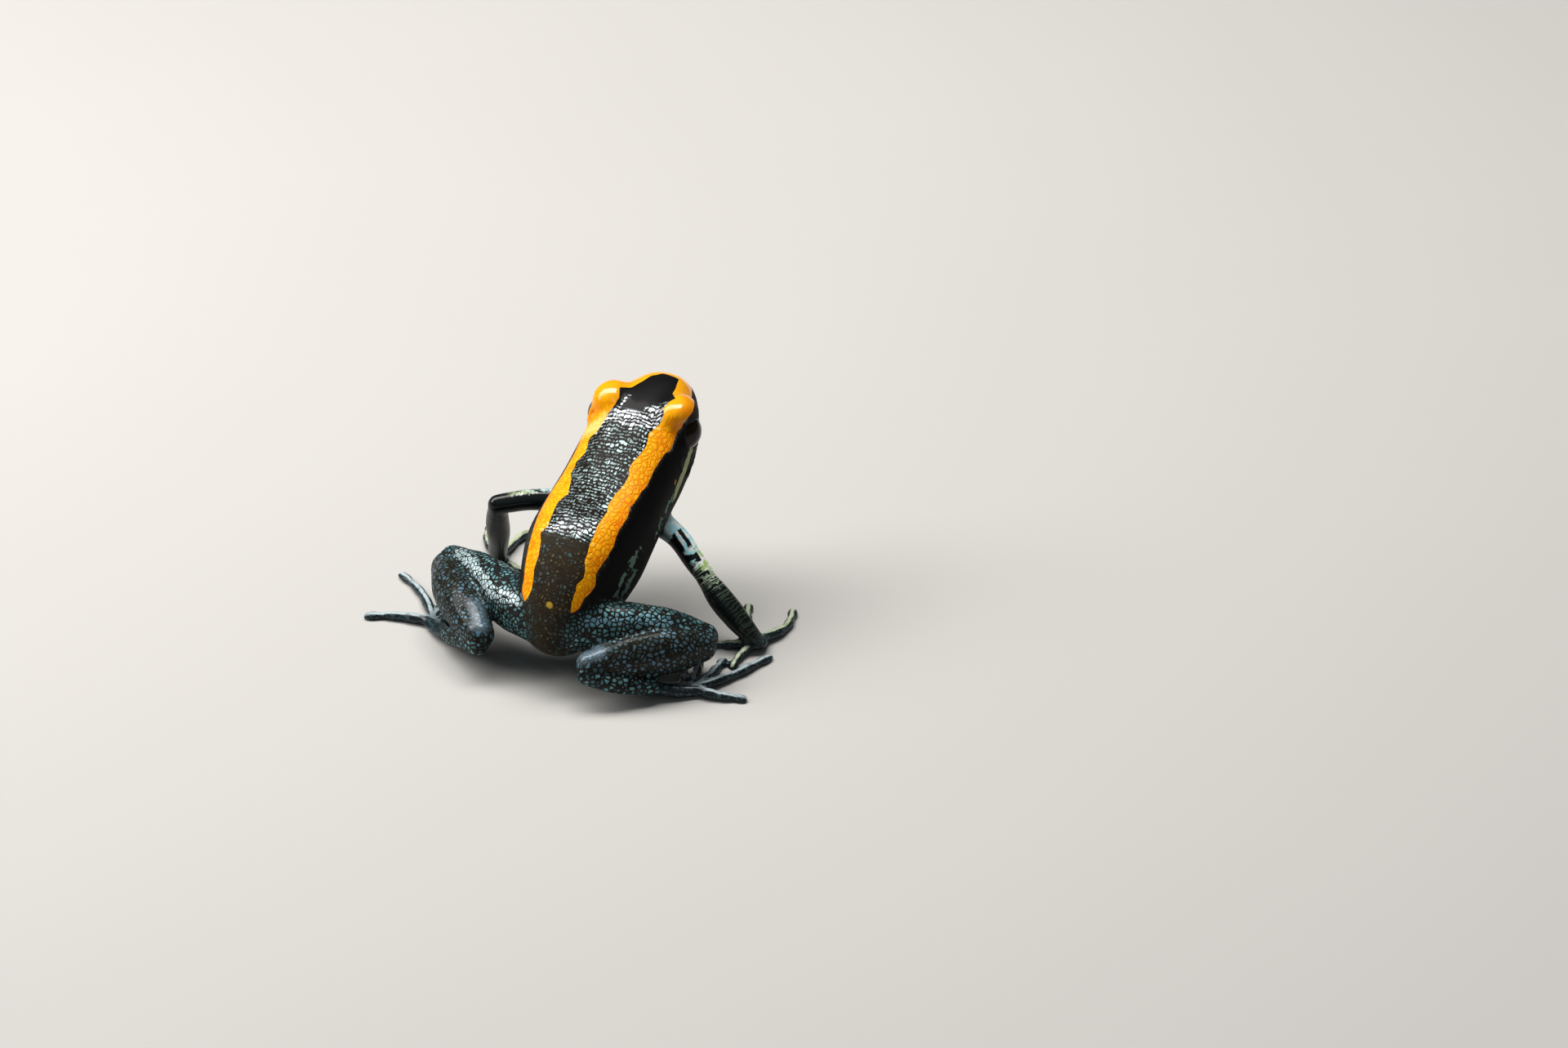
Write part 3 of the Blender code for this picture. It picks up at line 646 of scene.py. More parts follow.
def melt(shell, voxel):
    """Turn overlapping shells into one even surface."""
    mesh = bpy.data.meshes.new("skin")
    shell.to_mesh(mesh)
    shell.free()
    item = bpy.data.objects.new("skin", mesh)
    bpy.context.collection.objects.link(item)
    change = item.modifiers.new("melt", "REMESH")
    change.mode, change.voxel_size = "VOXEL", voxel
    graph = bpy.context.evaluated_depsgraph_get()
    item.data = bpy.data.meshes.new_from_object(item.evaluated_get(graph))
    item.modifiers.clear()
    return item


def joints():
    """The bends of the limbs: where their skin is drawn together, and how far from there."""
    spots = []
    for side, way in SIDES:
        bends = [(LIMB_SEGMENTS[name][side][0], reach) for name, reach in BEND_REACH.items()]
        bends += [(table[side][-1], DIGIT_ROOT_REACH) for table in (PALM, SOLE)]
        spots += [(on_side(station[:3], way), reach) for station, reach in bends]
    return spots


def build_skin():
    item = melt(rough_skin(), SKIN_VOXEL)
    skin = Skin(item.data)
    skin.relax(3)
    drawn = np.zeros(skin.count)
    for spot, reach in joints():
        distance = np.linalg.norm(skin.points - spot, axis=1)
        drawn = np.maximum(drawn, 1.0 - smoothstep(distance, 0.6 * reach, reach))
    skin.fill(30, drawn)
    skin.relax(10, weight=drawn, grow=0.0)
    shape_head(skin)
    body = BodyMap().read(skin.points)
    carve_face(skin, body)
    flesh = smoothstep(body.outside, 0.3, 1.2)
    skin.push(RIPPLE_HEIGHT * ripple(skin.points, 2.6) * flesh)
    skin.points[:, 2] = np.maximum(skin.points[:, 2], 0.0)
    mark_skin(skin)
    skin.write()
    return item


def shape_head(skin):
    """Let the lids flow into the crown, and draw a thin swollen rim round each eye."""
    for _, way in SIDES:
        eye = on_side(EYE_CENTRE, way)
        lid = (skin.points - on_side(LID_CENTRE, way)) * (way, 1.0, 1.0)
        near = 1.0 - smoothstep(np.linalg.norm(lid, axis=1), 2.6, 3.6)
        inner = near * (1.0 - smoothstep(lid[:, 0], 0.5, 1.2)) * smoothstep(lid[:, 2], -0.9, -0.2)
        distance = np.linalg.norm(skin.points - eye, axis=1)
        around = smoothstep(distance, 1.74, 1.90) * (1.0 - smoothstep(distance, 2.5, 3.2))
        skin.fill(70, np.maximum(inner, around))
        skin.relax(12, weight=near * (1.0 - smoothstep(lid[:, 0], 0.9, 1.5)), grow=0.0)
        skin.relax(4, weight=around, grow=0.0)
        from_eye = skin.points - eye
        distance = np.linalg.norm(from_eye, axis=1)
        facing_out = smoothstep(from_eye[:, 0] * way, 0.2, 0.8)
        swell = RIM_SWELL * hump(distance - EYE_RADIUS - 0.14, 0.16) * facing_out
        skin.points += from_eye / distance[:, None] * swell[:, None]


def mark_back(skin, body, across):
    """Where the back is granular, and how brightly its grains are painted as catching the light (painted
    sheen and painted shade), with a painted highlight streak on the crown; across is signed, in millimetres.
    """
    front = GRAIN_FRONT + 0.70 * smoothstep(-across, 0.35, 0.95)
    granular = smoothstep(front - body.place, -0.10, 0.12) * smoothstep(body.place, 4.08, 4.34)
    # a painted highlight streak on the crown, painted as bright silvery grains
    start_across, start_along, end_across, end_along, half = PAINTED_GLEAM
    share = np.clip((body.v - start_along) / (end_along - start_along), 0.0, 1.0)
    painted_gleam = np.hypot(across - start_across - share * (end_across - start_across),
                     body.v - start_along - share * (end_along - start_along))
    painted_gleam = smoothstep(half - painted_gleam, -0.10, 0.05)
    # painted sheen: how brightly the grains are painted as catching the light, by place, with brighter and
    # darker painted patches
    painted_sheen = body.table(PAINTED_SHEEN)
    for spot_across, spot_along, wide, long, change in PAINTED_SHEEN_PATCHES:
        apart = ((across - spot_across) / wide) ** 2 + ((body.v - spot_along) / long) ** 2
        painted_sheen += change * np.exp(-apart)
    skin.attribute("granular", np.maximum(granular, painted_gleam))
    skin.attribute("painted_sheen", np.maximum(painted_sheen, painted_gleam))


def carve_face(skin, body):
    """Mouth line, nostrils and eardrums, pressed into the head."""
    on_head = smoothstep(-skin.points[:, 1], -MOUTH_CORNER_Y - 0.2, -MOUTH_CORNER_Y + 0.5)
    on_head *= body.outside < 1.2
    height = skin.points[:, 2] - mouth_height(skin.points[:, 1])
    move = -0.20 * on_head * hump(height + 0.02, 0.13) + 0.06 * on_head * hump(height + 0.36, 0.20)
    for _, way in SIDES:
        for y, z, radius, deep, lift in (NOSTRIL, EARDRUM):
            flat = np.hypot(skin.points[:, 1] - y, skin.points[:, 2] - z)
            here = (skin.points[:, 0] * way > 0.3) & (body.outside > -0.5) & (body.outside < 1.0)
            move -= deep * here * hump(flat, radius)
            move += lift * here * hump(flat - 1.25 * radius, 0.12)
    skin.push(move)


def mark_skin(skin):
    """Write where each marking lies as values on the skin's points."""
    body = BodyMap().read(skin.points)
    left = skin.points[:, 0] > 0.0
    across = np.zeros(skin.count)
    stripe, flank, between = (np.full(skin.count, UNMARKED) for _ in range(3))
    front = (body.place - STRIPE_FRONT) * 1.3
    for side, way in SIDES:
        here = left if way > 0.0 else ~left
        rows = STRIPE[side]
        inner, outer = (body.width_at(body.table(rows[name])) for name in ("inner", "outer"))
        inside = np.maximum(body.u - inner, front)
        tail = (body.place - rows["inner"][0][0]) * 1.6
        value = np.minimum(np.minimum(inside, outer - body.u), tail)
        stripe[here] = value[here]
        across[here] = ((body.u - inner) / np.maximum(outer - inner, 0.1))[here]
        between[here] = (outer - body.u)[here]
        lines = [body.line(line) for line in FLANK_LINES[side]]
        flank[here] = np.max(lines, axis=0)[here]
    near_body = body.outside < MARKING_REACH
    for name, value in (("stripe", stripe), ("lip_line", body.line(LIP_LINE)), ("flank_line", flank)):
        value = np.where(near_body, value, UNMARKED)
        skin.attribute(name, np.clip(value, UNMARKED, -UNMARKED))
    skin.attribute("stripe_across", np.clip(across, 0.0, 1.0))
    skin.attribute("back", smoothstep(between, -0.3, 0.4) * (body.outside < 2.2))
    skin.attribute("place", body.place)
    skin.attribute("angle", body.angle)
    sign = np.where(left, 1.0, -1.0)
    mark_back(skin, body, body.u * sign)
    skin.attribute("body_map", np.stack([body.u * sign, body.v, np.zeros(skin.count)], axis=1))
    skin.attribute("upward", skin.normals()[:, 2])

    names = (*LIMB_SEGMENTS, "finger", "toe")
    digits = {"finger": FINGERS, "toe": TOES}
    gaps, runs, sides = {"body": body.outside}, {}, {}
    for name in names:
        gaps[name] = np.full(skin.count, np.inf)
        runs[name], sides[name] = np.zeros(skin.count), np.zeros(skin.count)
        for side, way in SIDES:
            if name in digits:
                tables = [mirrored(digit_stations(*row), way) for row in digits[name][side]]
            else:
                tables = [mirrored(LIMB_SEGMENTS[name][side], way)]
            for table in tables:
                distance, run, offset = limb_map(skin.points, table)
                closer = distance < gaps[name]
                gaps[name][closer] = distance[closer]
                runs[name][closer] = run[closer] + LIMB_STARTS[name]
                sides[name][closer] = offset[closer]
    shares = {name: np.exp(-np.maximum(gap, 0.0) / LIMB_BLEND) for name, gap in gaps.items()}
    total = sum(shares.values())
    for name in (*names, "body"):
        skin.attribute("is_" + name, shares[name] / total)
    weight = np.maximum(total - shares["body"], 1e-6)
    skin.attribute("limb_run", sum(shares[name] * runs[name] for name in names) / weight)
    skin.attribute("limb_side", sum(shares[name] * sides[name] for name in names) / weight)
    skin.attribute("left", left.astype(float))
    # painted highlights on the thighs and the heels
    skin.attribute("painted_thigh_glint", painted_glint_streaks(skin.points, PAINTED_THIGH_GLINTS))
    skin.attribute("painted_heel_glint", painted_glint_streaks(skin.points, PAINTED_HEEL_GLINTS))


class Wiring:
    """Short ways to build a node tree."""

    def __init__(self, tree):
        self.tree = tree

    def node(self, kind, inputs=None, **settings):
        made = self.tree.nodes.new(kind)
        for name, value in settings.items():
            setattr(made, name, value)
        for name, value in (inputs or {}).items():
            self.feed(made.inputs[name], value)
        return made

    def feed(self, socket, value):
        if isinstance(value, bpy.types.NodeSocket):
            self.tree.links.new(value, socket)
        else:
            socket.default_value = value

    def math(self, operation, *values, clamp=False):
        return self.node(
            "ShaderNodeMath", dict(enumerate(values)), operation=operation, use_clamp=clamp
        ).outputs["Value"]

    def add(self, *values):
        total = values[0]
        for value in values[1:]:
            total = self.math("ADD", total, value)
        return total

    def times(self, *values):
        product = values[0]
        for value in values[1:]:
            product = self.math("MULTIPLY", product, value)
        return product

    def less(self, first, second):
        return self.math("SUBTRACT", first, second)

    def ramp(self, value, low, high, start=0.0, end=1.0):
        return self.node(
            "ShaderNodeMapRange",
            {"Value": value, "From Min": low, "From Max": high, "To Min": start, "To Max": end},
            interpolation_type="SMOOTHSTEP",
        ).outputs["Result"]

    def mix(self, factor, first, second):
        made = self.node("ShaderNodeMix", data_type="RGBA")
        for name, value in (("Factor", factor), ("A", first), ("B", second)):
            socket = next(s for s in made.inputs if s.name == name and s.enabled)
            self.feed(socket, value)
        return next(s for s in made.outputs if s.enabled)

    def field(self, name, output="Fac"):
        return self.node("ShaderNodeAttribute", attribute_name=name).outputs[output]

    def mapping(self, vector, scale):
        return self.node("ShaderNodeMapping", {"Vector": vector, "Scale": scale}).outputs["Vector"]

    def noise(self, vector, scale, detail=2.0, roughness=0.5):
        return self.node(
            "ShaderNodeTexNoise", {"Vector": vector, "Scale": scale, "Detail": detail, "Roughness": roughness}
        ).outputs["Fac"]

    def group(self, tree, **inputs):
        made = self.node("ShaderNodeGroup", node_tree=tree)
        for name, value in inputs.items():
            self.feed(made.inputs[name], value)
        return made.outputs


def new_group(name, inputs, outputs):
    tree = bpy.data.node_groups.new(name, "ShaderNodeTree")
    for socket, kind, value in inputs:
        made = tree.interface.new_socket(name=socket, in_out="INPUT", socket_type=kind)
        if value is not None:
            made.default_value = value
    for socket in outputs:
        tree.interface.new_socket(name=socket, in_out="OUTPUT", socket_type="NodeSocketFloat")
    wiring = Wiring(tree)
    return wiring, wiring.node("NodeGroupInput").outputs, wiring.node("NodeGroupOutput").inputs


def row_group():
    """Long rounded grains in wandering rows over the back: their height, and a value of each one's own."""
    wiring, given, result = new_group(
        "cross_rows",
        (("Vector", "NodeSocketVector", None), ("Row", "NodeSocketFloat", 0.4),
         ("Length", "NodeSocketFloat", 0.4)),
        ("Height", "Grain"),
    )
    flat = wiring.node("ShaderNodeSeparateXYZ", {0: given["Vector"]}).outputs
    slow = wiring.node("ShaderNodeSeparateColor", {"Color": wiring.node(
        "ShaderNodeTexNoise", {"Vector": given["Vector"], "Scale": 0.8, "Detail": 2.0, "Roughness": 0.6}
    ).outputs["Color"]}).outputs
    quick = wiring.noise(given["Vector"], 2.6, 1.0)
    wander = wiring.add(
        wiring.times(wiring.less(slow["Red"], 0.5), 0.85), wiring.times(wiring.less(quick, 0.5), 0.34)
    )
    level = wiring.math("DIVIDE", wiring.add(flat["Y"], wander), given["Row"])
    row = wiring.math("FLOOR", level)
    chance = wiring.node("ShaderNodeTexWhiteNoise", {"W": row}, noise_dimensions="1D").outputs["Value"]
    drift = wiring.add(wiring.times(flat["X"], 1.1), wiring.times(row, 7.3))
    stretch = wiring.node(
        "ShaderNodeTexNoise", {"W": drift, "Scale": 1.0}, noise_dimensions="1D"
    ).outputs["Fac"]
    along = wiring.math("DIVIDE", flat["X"], given["Length"])
    along = wiring.add(along, wiring.times(chance, 9.0), wiring.times(stretch, 2.6))
    cell = wiring.math("FLOOR", along)
    pair = wiring.node("ShaderNodeCombineXYZ", {"X": cell, "Y": row}).outputs[0]
    grain = wiring.node("ShaderNodeTexWhiteNoise", {"Vector": pair}, noise_dimensions="2D").outputs["Value"]
    from_level = wiring.math("ABSOLUTE", wiring.less(wiring.math("FRACT", level), 0.5))
    from_middle = wiring.math("ABSOLUTE", wiring.less(wiring.math("FRACT", along), 0.5))
    long_side = wiring.math("POWER", wiring.times(from_middle, 2.0), 3.0)
    short_side = wiring.math("POWER", wiring.times(from_level, wiring.ramp(grain, 0.0, 1.0, 2.9, 2.1)), 2.0)
    wiring.feed(result["Height"], wiring.math("SUBTRACT", 1.0, wiring.add(long_side, short_side), clamp=True))
    wiring.feed(result["Grain"], grain)
    return wiring.tree


def pebble_group():
    """Rounded pebbles of skin packed side by side: their height, and a value of each one's own."""
    wiring, given, result = new_group(
        "pebbles",
        (("Vector", "NodeSocketVector", None), ("Size", "NodeSocketFloat", 0.45),
         ("Fill", "NodeSocketFloat", 0.4)),
        ("Height", "Grain"),
    )
    scale = wiring.math("DIVIDE", 1.0, given["Size"])
    feed = {"Vector": given["Vector"], "Scale": scale, "Randomness": 0.85}
    cells = wiring.node("ShaderNodeTexVoronoi", feed, feature="F1")
    gaps = wiring.node("ShaderNodeTexVoronoi", feed, feature="DISTANCE_TO_EDGE")
    share = wiring.math("DIVIDE", gaps.outputs["Distance"], given["Fill"], clamp=True)
    wiring.feed(result["Height"], wiring.times(share, wiring.less(2.0, share)))
    own = wiring.node("ShaderNodeSeparateColor", {"Color": cells.outputs["Color"]}).outputs["Red"]
    wiring.feed(result["Grain"], own)
    return wiring.tree


def edge_group():
    """A wavy but crisp edge from a distance in millimetres, as a mask."""
    wiring, given, result = new_group(
        "wavy_edge",
        (("Vector", "NodeSocketVector", None), ("Distance", "NodeSocketFloat", 0.0),
         ("Wave", "NodeSocketFloat", 0.1), ("Length", "NodeSocketFloat", 1.2),
         ("Softness", "NodeSocketFloat", 0.04)),
        ("Mask",),
    )
    scale = wiring.math("DIVIDE", 1.0, given["Length"])
    wave = wiring.less(wiring.noise(given["Vector"], scale, 1.5), 0.5)
    moved = wiring.add(given["Distance"], wiring.times(wave, given["Wave"], 3.0))
    wiring.feed(result["Mask"], wiring.ramp(moved, wiring.times(given["Softness"], -1.0), given["Softness"]))
    return wiring.tree


def new_material(name):
    material = bpy.data.materials.new(name)
    material.use_nodes = True
    wiring = Wiring(material.node_tree)
    return material, wiring, material.node_tree.nodes["Principled BSDF"]


def skin_material():
    material, wiring, shader = new_material("wet_granular_skin")
    rows, pebbles, wavy = row_group(), pebble_group(), edge_group()
    field, ramp, times, add, less, mix, noise = (
        wiring.field, wiring.ramp, wiring.times, wiring.add, wiring.less, wiring.mix, wiring.noise
    )
    here = wiring.mapping(wiring.node("ShaderNodeTexCoord").outputs["Object"], (1.0 / MM,) * 3)
    over_body = field("body_map", "Vector")
    place, angle, upward, left = field("place"), field("angle"), field("upward"), field("left")
    on_body, run, sideways = field("is_body"), field("limb_run"), field("limb_side")
    right = less(1.0, left)
    mottle = noise(here, 0.7, 2.0)
    cloud = noise(here, 1.6, 3.0, 0.6)
    fine = noise(here, 5.0, 2.0)

    # where each finish lies
    stripe = times(wiring.group(
        wavy, Vector=here, Distance=field("stripe"), Wave=0.035, Length=0.55, Softness=0.03
    )["Mask"], ramp(on_body, 0.25, 0.6))
    plain = less(1.0, stripe)
    granular = times(field("back"), on_body, field("granular"))
    rump = times(on_body, ramp(add(place, times(less(cloud, 0.5), 0.5)), 4.40, 4.15))
    rump = times(rump, wiring.math("MAXIMUM", ramp(place, 2.1, 1.4), ramp(angle, 56.0, 44.0)))
    thigh, shank, tarsus = field("is_thigh"), field("is_shank"), field("is_tarsus")
    leg = add(thigh, shank, tarsus)
    foot = add(field("is_sole"), field("is_toe"))
    hand = add(field("is_palm"), field("is_finger"))
    toes = add(foot, hand)
    upper_arm, forearm = field("is_upper_arm"), field("is_forearm")
    arm = add(upper_arm, forearm)

    # the back: black between rows of silvery grains, painted brighter in bands where the back catches the
    # light and darker in patches of painted shade
    back_grain = wiring.group(rows, Vector=over_body, Row=0.37, Length=0.38)
    # painted sheen: the grains are painted whiter and fuller where the back catches the light, and darker
    # where it lies in shade
    painted_sheen = times(field("painted_sheen"), ramp(cloud, 0.30, 0.65, 0.70, 1.25))
    start = ramp(painted_sheen, 0.30, 0.95, 0.50, 0.0)
    tops = ramp(back_grain["Height"], start, add(start, 0.40))
    uneven = ramp(back_grain["Grain"], 0.0, 1.0, 0.40, 1.0)
    silver_and_sheen = times(tops, granular, uneven, ramp(painted_sheen, 0.0, 0.45, 0.05, 1.0))
    silver_and_sheen_tone = mix(ramp(painted_sheen, 0.45, 1.0), (0.20, 0.28, 0.28, 1.0), (0.62, 0.66, 0.71, 1.0))
    colour = mix(silver_and_sheen, mix(granular, BLACK_SKIN, (0.010, 0.007, 0.005, 1.0)), silver_and_sheen_tone)

    # the rump: dull brown with teal and golden specks
    colour = mix(rump, colour, mix(cloud, (0.009, 0.007, 0.004, 1.0), (0.040, 0.028, 0.015, 1.0)))
    speck = wiring.group(pebbles, Vector=here, Size=0.34, Fill=0.36)
    specks = times(rump, ramp(speck["Height"], 0.72, 0.98), ramp(speck["Grain"], 0.1, 0.9, 0.10, 1.0))
    speck_tone = mix(ramp(mottle, 0.42, 0.58), (0.07, 0.14, 0.16, 1.0), (0.15, 0.12, 0.055, 1.0))
    colour = mix(times(specks, 0.75), colour, speck_tone)

    # the belly and the throat: black marbled with blue green
    marble = ramp(noise(here, 0.55, 3.0, 0.55), 0.50, 0.56)
    belly = times(on_body, ramp(angle, 112.0, 128.0))
    colour = mix(times(marble, belly), colour, (0.08, 0.21, 0.20, 1.0))

    # the legs: near-black with dense turquoise pebbles, browner and duller on the shank, with painted
    # highlights on the thighs' ridges and on the heels
    leg_grain = wiring.group(pebbles, Vector=here, Size=0.41, Fill=0.34)
    painted_thigh_glint, painted_heel_glint = field("painted_thigh_glint"), field("painted_heel_glint")
    start = ramp(painted_thigh_glint, 0.0, 1.0, 0.62, 0.28)
    leg_tops = ramp(leg_grain["Height"], start, add(start, 0.35))
    leg_body = mix(ramp(mottle, 0.35, 0.65), (0.006, 0.014, 0.016, 1.0), (0.020, 0.018, 0.010, 1.0))
    leg_body = mix(times(shank, 0.8), leg_body, (0.018, 0.019, 0.010, 1.0))
    leg_dark = mix(ramp(leg_grain["Height"], 0.15, 0.55), (0.006, 0.004, 0.003, 1.0), leg_body)
    teal = mix(leg_grain["Grain"], (0.030, 0.105, 0.120, 1.0), (0.17, 0.38, 0.41, 1.0))
    dusky = mix(leg_grain["Grain"], (0.030, 0.048, 0.040, 1.0), (0.10, 0.21, 0.30, 1.0))
    spots = mix(shank, teal, dusky)
    leg_mask = times(leg_tops, ramp(mottle, 0.25, 0.55, 0.60, 1.0), less(1.0, times(shank, 0.10)))
    colour = mix(leg, colour, leg_dark)
    colour = mix(times(leg, leg_mask), colour, spots)
    # painted highlight: the pebble tops along the thighs' upper ridges are painted silver white
    thigh_glint = times(thigh, painted_thigh_glint, ramp(cloud, 0.30, 0.55, 0.45, 1.0))
    thigh_glint_tone = mix(left, (0.26, 0.50, 0.64, 1.0), (0.62, 0.74, 0.76, 1.0))
    colour = mix(times(thigh_glint, leg_tops, 0.90), colour, thigh_glint_tone)
    # painted highlight: a soft bluish sheen painted on the heels
    heel_glint = times(add(shank, tarsus), painted_heel_glint, ramp(cloud, 0.30, 0.6, 0.5, 1.0))
    colour = mix(times(heel_glint, 0.60), colour, (0.20, 0.30, 0.38, 1.0))

    # the arms: turquoise white with black blotches, greener at the elbow, dark and wrinkled below it, and a
    # painted highlight along the top of the left arm
    along_limb = wiring.node("ShaderNodeCombineXYZ", {
        "X": times(run, 1.5), "Y": times(sideways, 0.6), "Z": times(upward, 0.4)
    }).outputs[0]
    blotch = ramp(noise(along_limb, 1.3, 3.0, 0.6), 0.50, 0.54)
    greener = ramp(add(run, times(sideways, -1.6)), 4.0, 6.0)
    pale_arm = mix(greener, (0.42, 0.86, 0.95, 1.0), (0.42, 0.58, 0.18, 1.0))
    pale_arm = mix(ramp(noise(here, 2.6, 3.0, 0.6), 0.44, 0.58), pale_arm, (0.95, 1.0, 0.98, 1.0))
    wrinkle = wiring.math("SINE", add(times(run, math.tau / 0.34), times(noise(here, 1.6, 3.0, 0.6), 9.0)))
    colour = mix(arm, colour, (0.005, 0.008, 0.008, 1.0))
    stray = times(less(noise(here, 1.8, 2.0), 0.5), 2.4)
    patch = ramp(wiring.math("ABSOLUTE", less(add(run, times(stray, 0.6)), 1.9)), 0.75, 0.60)
    core = ramp(wiring.math("ABSOLUTE", less(add(sideways, times(stray, 0.10)), 0.47)), 0.17, 0.09)
    core = times(core, ramp(run, 4.9, 4.3), ramp(run, 1.0, 1.6))
    blotches = times(blotch, ramp(run, 4.0, 4.5), ramp(run, 8.6, 7.2), ramp(sideways, 0.84, 0.66))
    outer_line = ramp(add(sideways, times(stray, 0.12)), -0.02, -0.10)
    outer_line = times(outer_line, ramp(run, 7.8, 6.8), ramp(run, 1.6, 2.2))
    right_pale = wiring.math("MAXIMUM", wiring.math("MAXIMUM", patch, core), blotches)
    right_pale = times(right, right_pale, ramp(sideways, 1.05, 0.75), ramp(upward, -0.55, -0.20))
    outer_line = times(right, outer_line, ramp(upward, -0.5, -0.1))
    # painted highlight: the upward-facing top of the left arm is painted pale
    left_arm_glint = times(left, ramp(add(upward, times(less(cloud, 0.5), 0.9)), 0.90, 0.98), ramp(run, 7.5, 6.0))
    pale_arm = mix(times(left, 0.45), pale_arm, (0.10, 0.14, 0.12, 1.0))
    pale_mask = times(arm, wiring.math("MAXIMUM", wiring.math("MAXIMUM", right_pale, outer_line), left_arm_glint))
    colour = mix(pale_mask, colour, pale_arm)
    folds = times(arm, ramp(wrinkle, 0.2, 0.95), ramp(run, 5.6, 7.2), right)
    folds = times(folds, ramp(sideways, 0.90, 0.62, 0.10, 1.0))
    fold_tone = mix(ramp(add(run, stray), 10.2, 7.8), (0.040, 0.066, 0.036, 1.0), (0.46, 0.58, 0.42, 1.0))
    colour = mix(times(folds, 0.85), colour, fold_tone)

    # hands and feet: blue-black granules with a pale line along the top of each finger, and a painted
    # highlight line along the top of each toe
    colour = mix(toes, colour, mix(mottle, (0.005, 0.010, 0.014, 1.0), (0.016, 0.026, 0.030, 1.0)))
    colour = mix(times(toes, leg_tops, 0.45), colour, (0.07, 0.14, 0.16, 1.0))
    half = add(0.16, times(left, hand, 0.08))
    inside = less(half, wiring.math("ABSOLUTE", sideways))
    line = wiring.group(wavy, Vector=here, Distance=inside, Wave=0.06, Length=0.5, Softness=0.05)["Mask"]
    digit = add(field("is_toe"), field("is_finger"))
    # a pale line of their own along the fingers' tops, and a painted highlight line along the toes' tops
    digit_line_and_toe_glint = times(digit, line, ramp(upward, 0.20, 0.50), ramp(noise(here, 1.3, 2.0), 0.35, 0.5, 0.60, 1.0))
    digit_line_and_glint_tone = mix(field("is_finger"), (0.50, 0.60, 0.64, 1.0), (0.56, 0.63, 0.42, 1.0))
    colour = mix(times(digit_line_and_toe_glint, 0.85), colour, digit_line_and_glint_tone)

    # pale lines on the lip and the flank, and the yellow spots
    lip = wiring.group(
        wavy, Vector=here, Distance=field("lip_line"), Wave=0.05, Length=0.6, Softness=0.05
    )["Mask"]
    colour = mix(times(lip, on_body), colour, mix(cloud, (0.28, 0.34, 0.14, 1.0), (0.56, 0.58, 0.34, 1.0)))
    flank = wiring.group(
        wavy, Vector=here, Distance=field("flank_line"), Wave=0.55, Length=0.50, Softness=0.08
    )["Mask"]
    colour = mix(times(flank, on_body), colour, mix(cloud, (0.06, 0.12, 0.09, 1.0), (0.18, 0.29, 0.23, 1.0)))
    for across, along, radius, tone in YELLOW_SPOTS:
        points = {0: over_body, 1: (across, along, 0.0)}
        spot = wiring.node("ShaderNodeVectorMath", points, operation="DISTANCE")
        inside = less(radius, spot.outputs["Value"])
        dot = wiring.group(wavy, Vector=here, Distance=inside, Wave=0.05, Length=0.5, Softness=0.08)["Mask"]
        colour = mix(times(dot, on_body), colour, tone)

    # the two bright stripes: yellow on their inner side, deeper orange outside, with paler pebbles, painted
    # glints on the inner pebbles and a painted pale sheen on the left stripe at the neck
    stripe_grain = wiring.group(pebbles, Vector=over_body, Size=0.46, Fill=0.34)
    pebbled = times(stripe, ramp(place, 10.6, 9.2))
    heat = add(
        times(ramp(field("stripe_across"), 0.0, 1.0), 0.50),
        times(ramp(place, 13.5, 9.5), 0.16),
        times(less(noise(here, 0.9, 2.0), 0.5), 1.3),
    )
    orange = mix(ramp(heat, 0.0, 0.9), (1.0, 0.43, 0.0, 1.0), (0.97, 0.27, 0.0, 1.0))
    orange = mix(times(ramp(heat, 0.75, 1.25), 0.7), orange, (0.88, 0.18, 0.0, 1.0))
    stripe_tops = times(pebbled, ramp(stripe_grain["Height"], 0.60, 1.0), 0.60)
    orange = mix(stripe_tops, orange, (1.0, 0.50, 0.01, 1.0))
    stripe_gaps = times(pebbled, ramp(stripe_grain["Height"], 0.45, 0.0), 0.55)
    orange = mix(stripe_gaps, orange, (0.74, 0.15, 0.0, 1.0))
    # painted highlight: glints painted on the inner pebble tops where the back's painted sheen is strong
    stripe_glint = times(pebbled, ramp(stripe_grain["Height"], 0.90, 1.0), ramp(field("stripe_across"), 0.40, 0.05))
    stripe_glint = times(stripe_glint, ramp(field("painted_sheen"), 0.35, 0.9, 0.25, 1.0), ramp(stripe_grain["Grain"], 0.3, 0.7))
    from_neck = wiring.math("ABSOLUTE", less(add(place, fine), 9.75))
    # painted highlight: a pale cream sheen painted on the left stripe at the neck
    neck_sheen = times(left, ramp(from_neck, 0.55, 0.10), ramp(heat, 1.0, 0.4))
    orange = mix(times(stripe_glint, 0.8), orange, (1.0, 0.80, 0.50, 1.0))
    orange = mix(times(neck_sheen, 0.5), orange, (1.0, 0.74, 0.30, 1.0))
    colour = mix(stripe, colour, orange)

    height = add(
        times(back_grain["Height"], granular, plain, 0.030),
        times(stripe_grain["Height"], pebbled, 0.042),
        times(leg_grain["Height"], add(leg, times(toes, 0.5)), 0.034),
        times(speck["Height"], rump, 0.016),
        times(wrinkle, forearm, less(1.0, times(left, 0.7)), 0.014),
        times(fine, 0.006),
    )
    bump = wiring.node(
        "ShaderNodeBump", {"Height": height, "Strength": 1.0, "Distance": MM}
    ).outputs["Normal"]

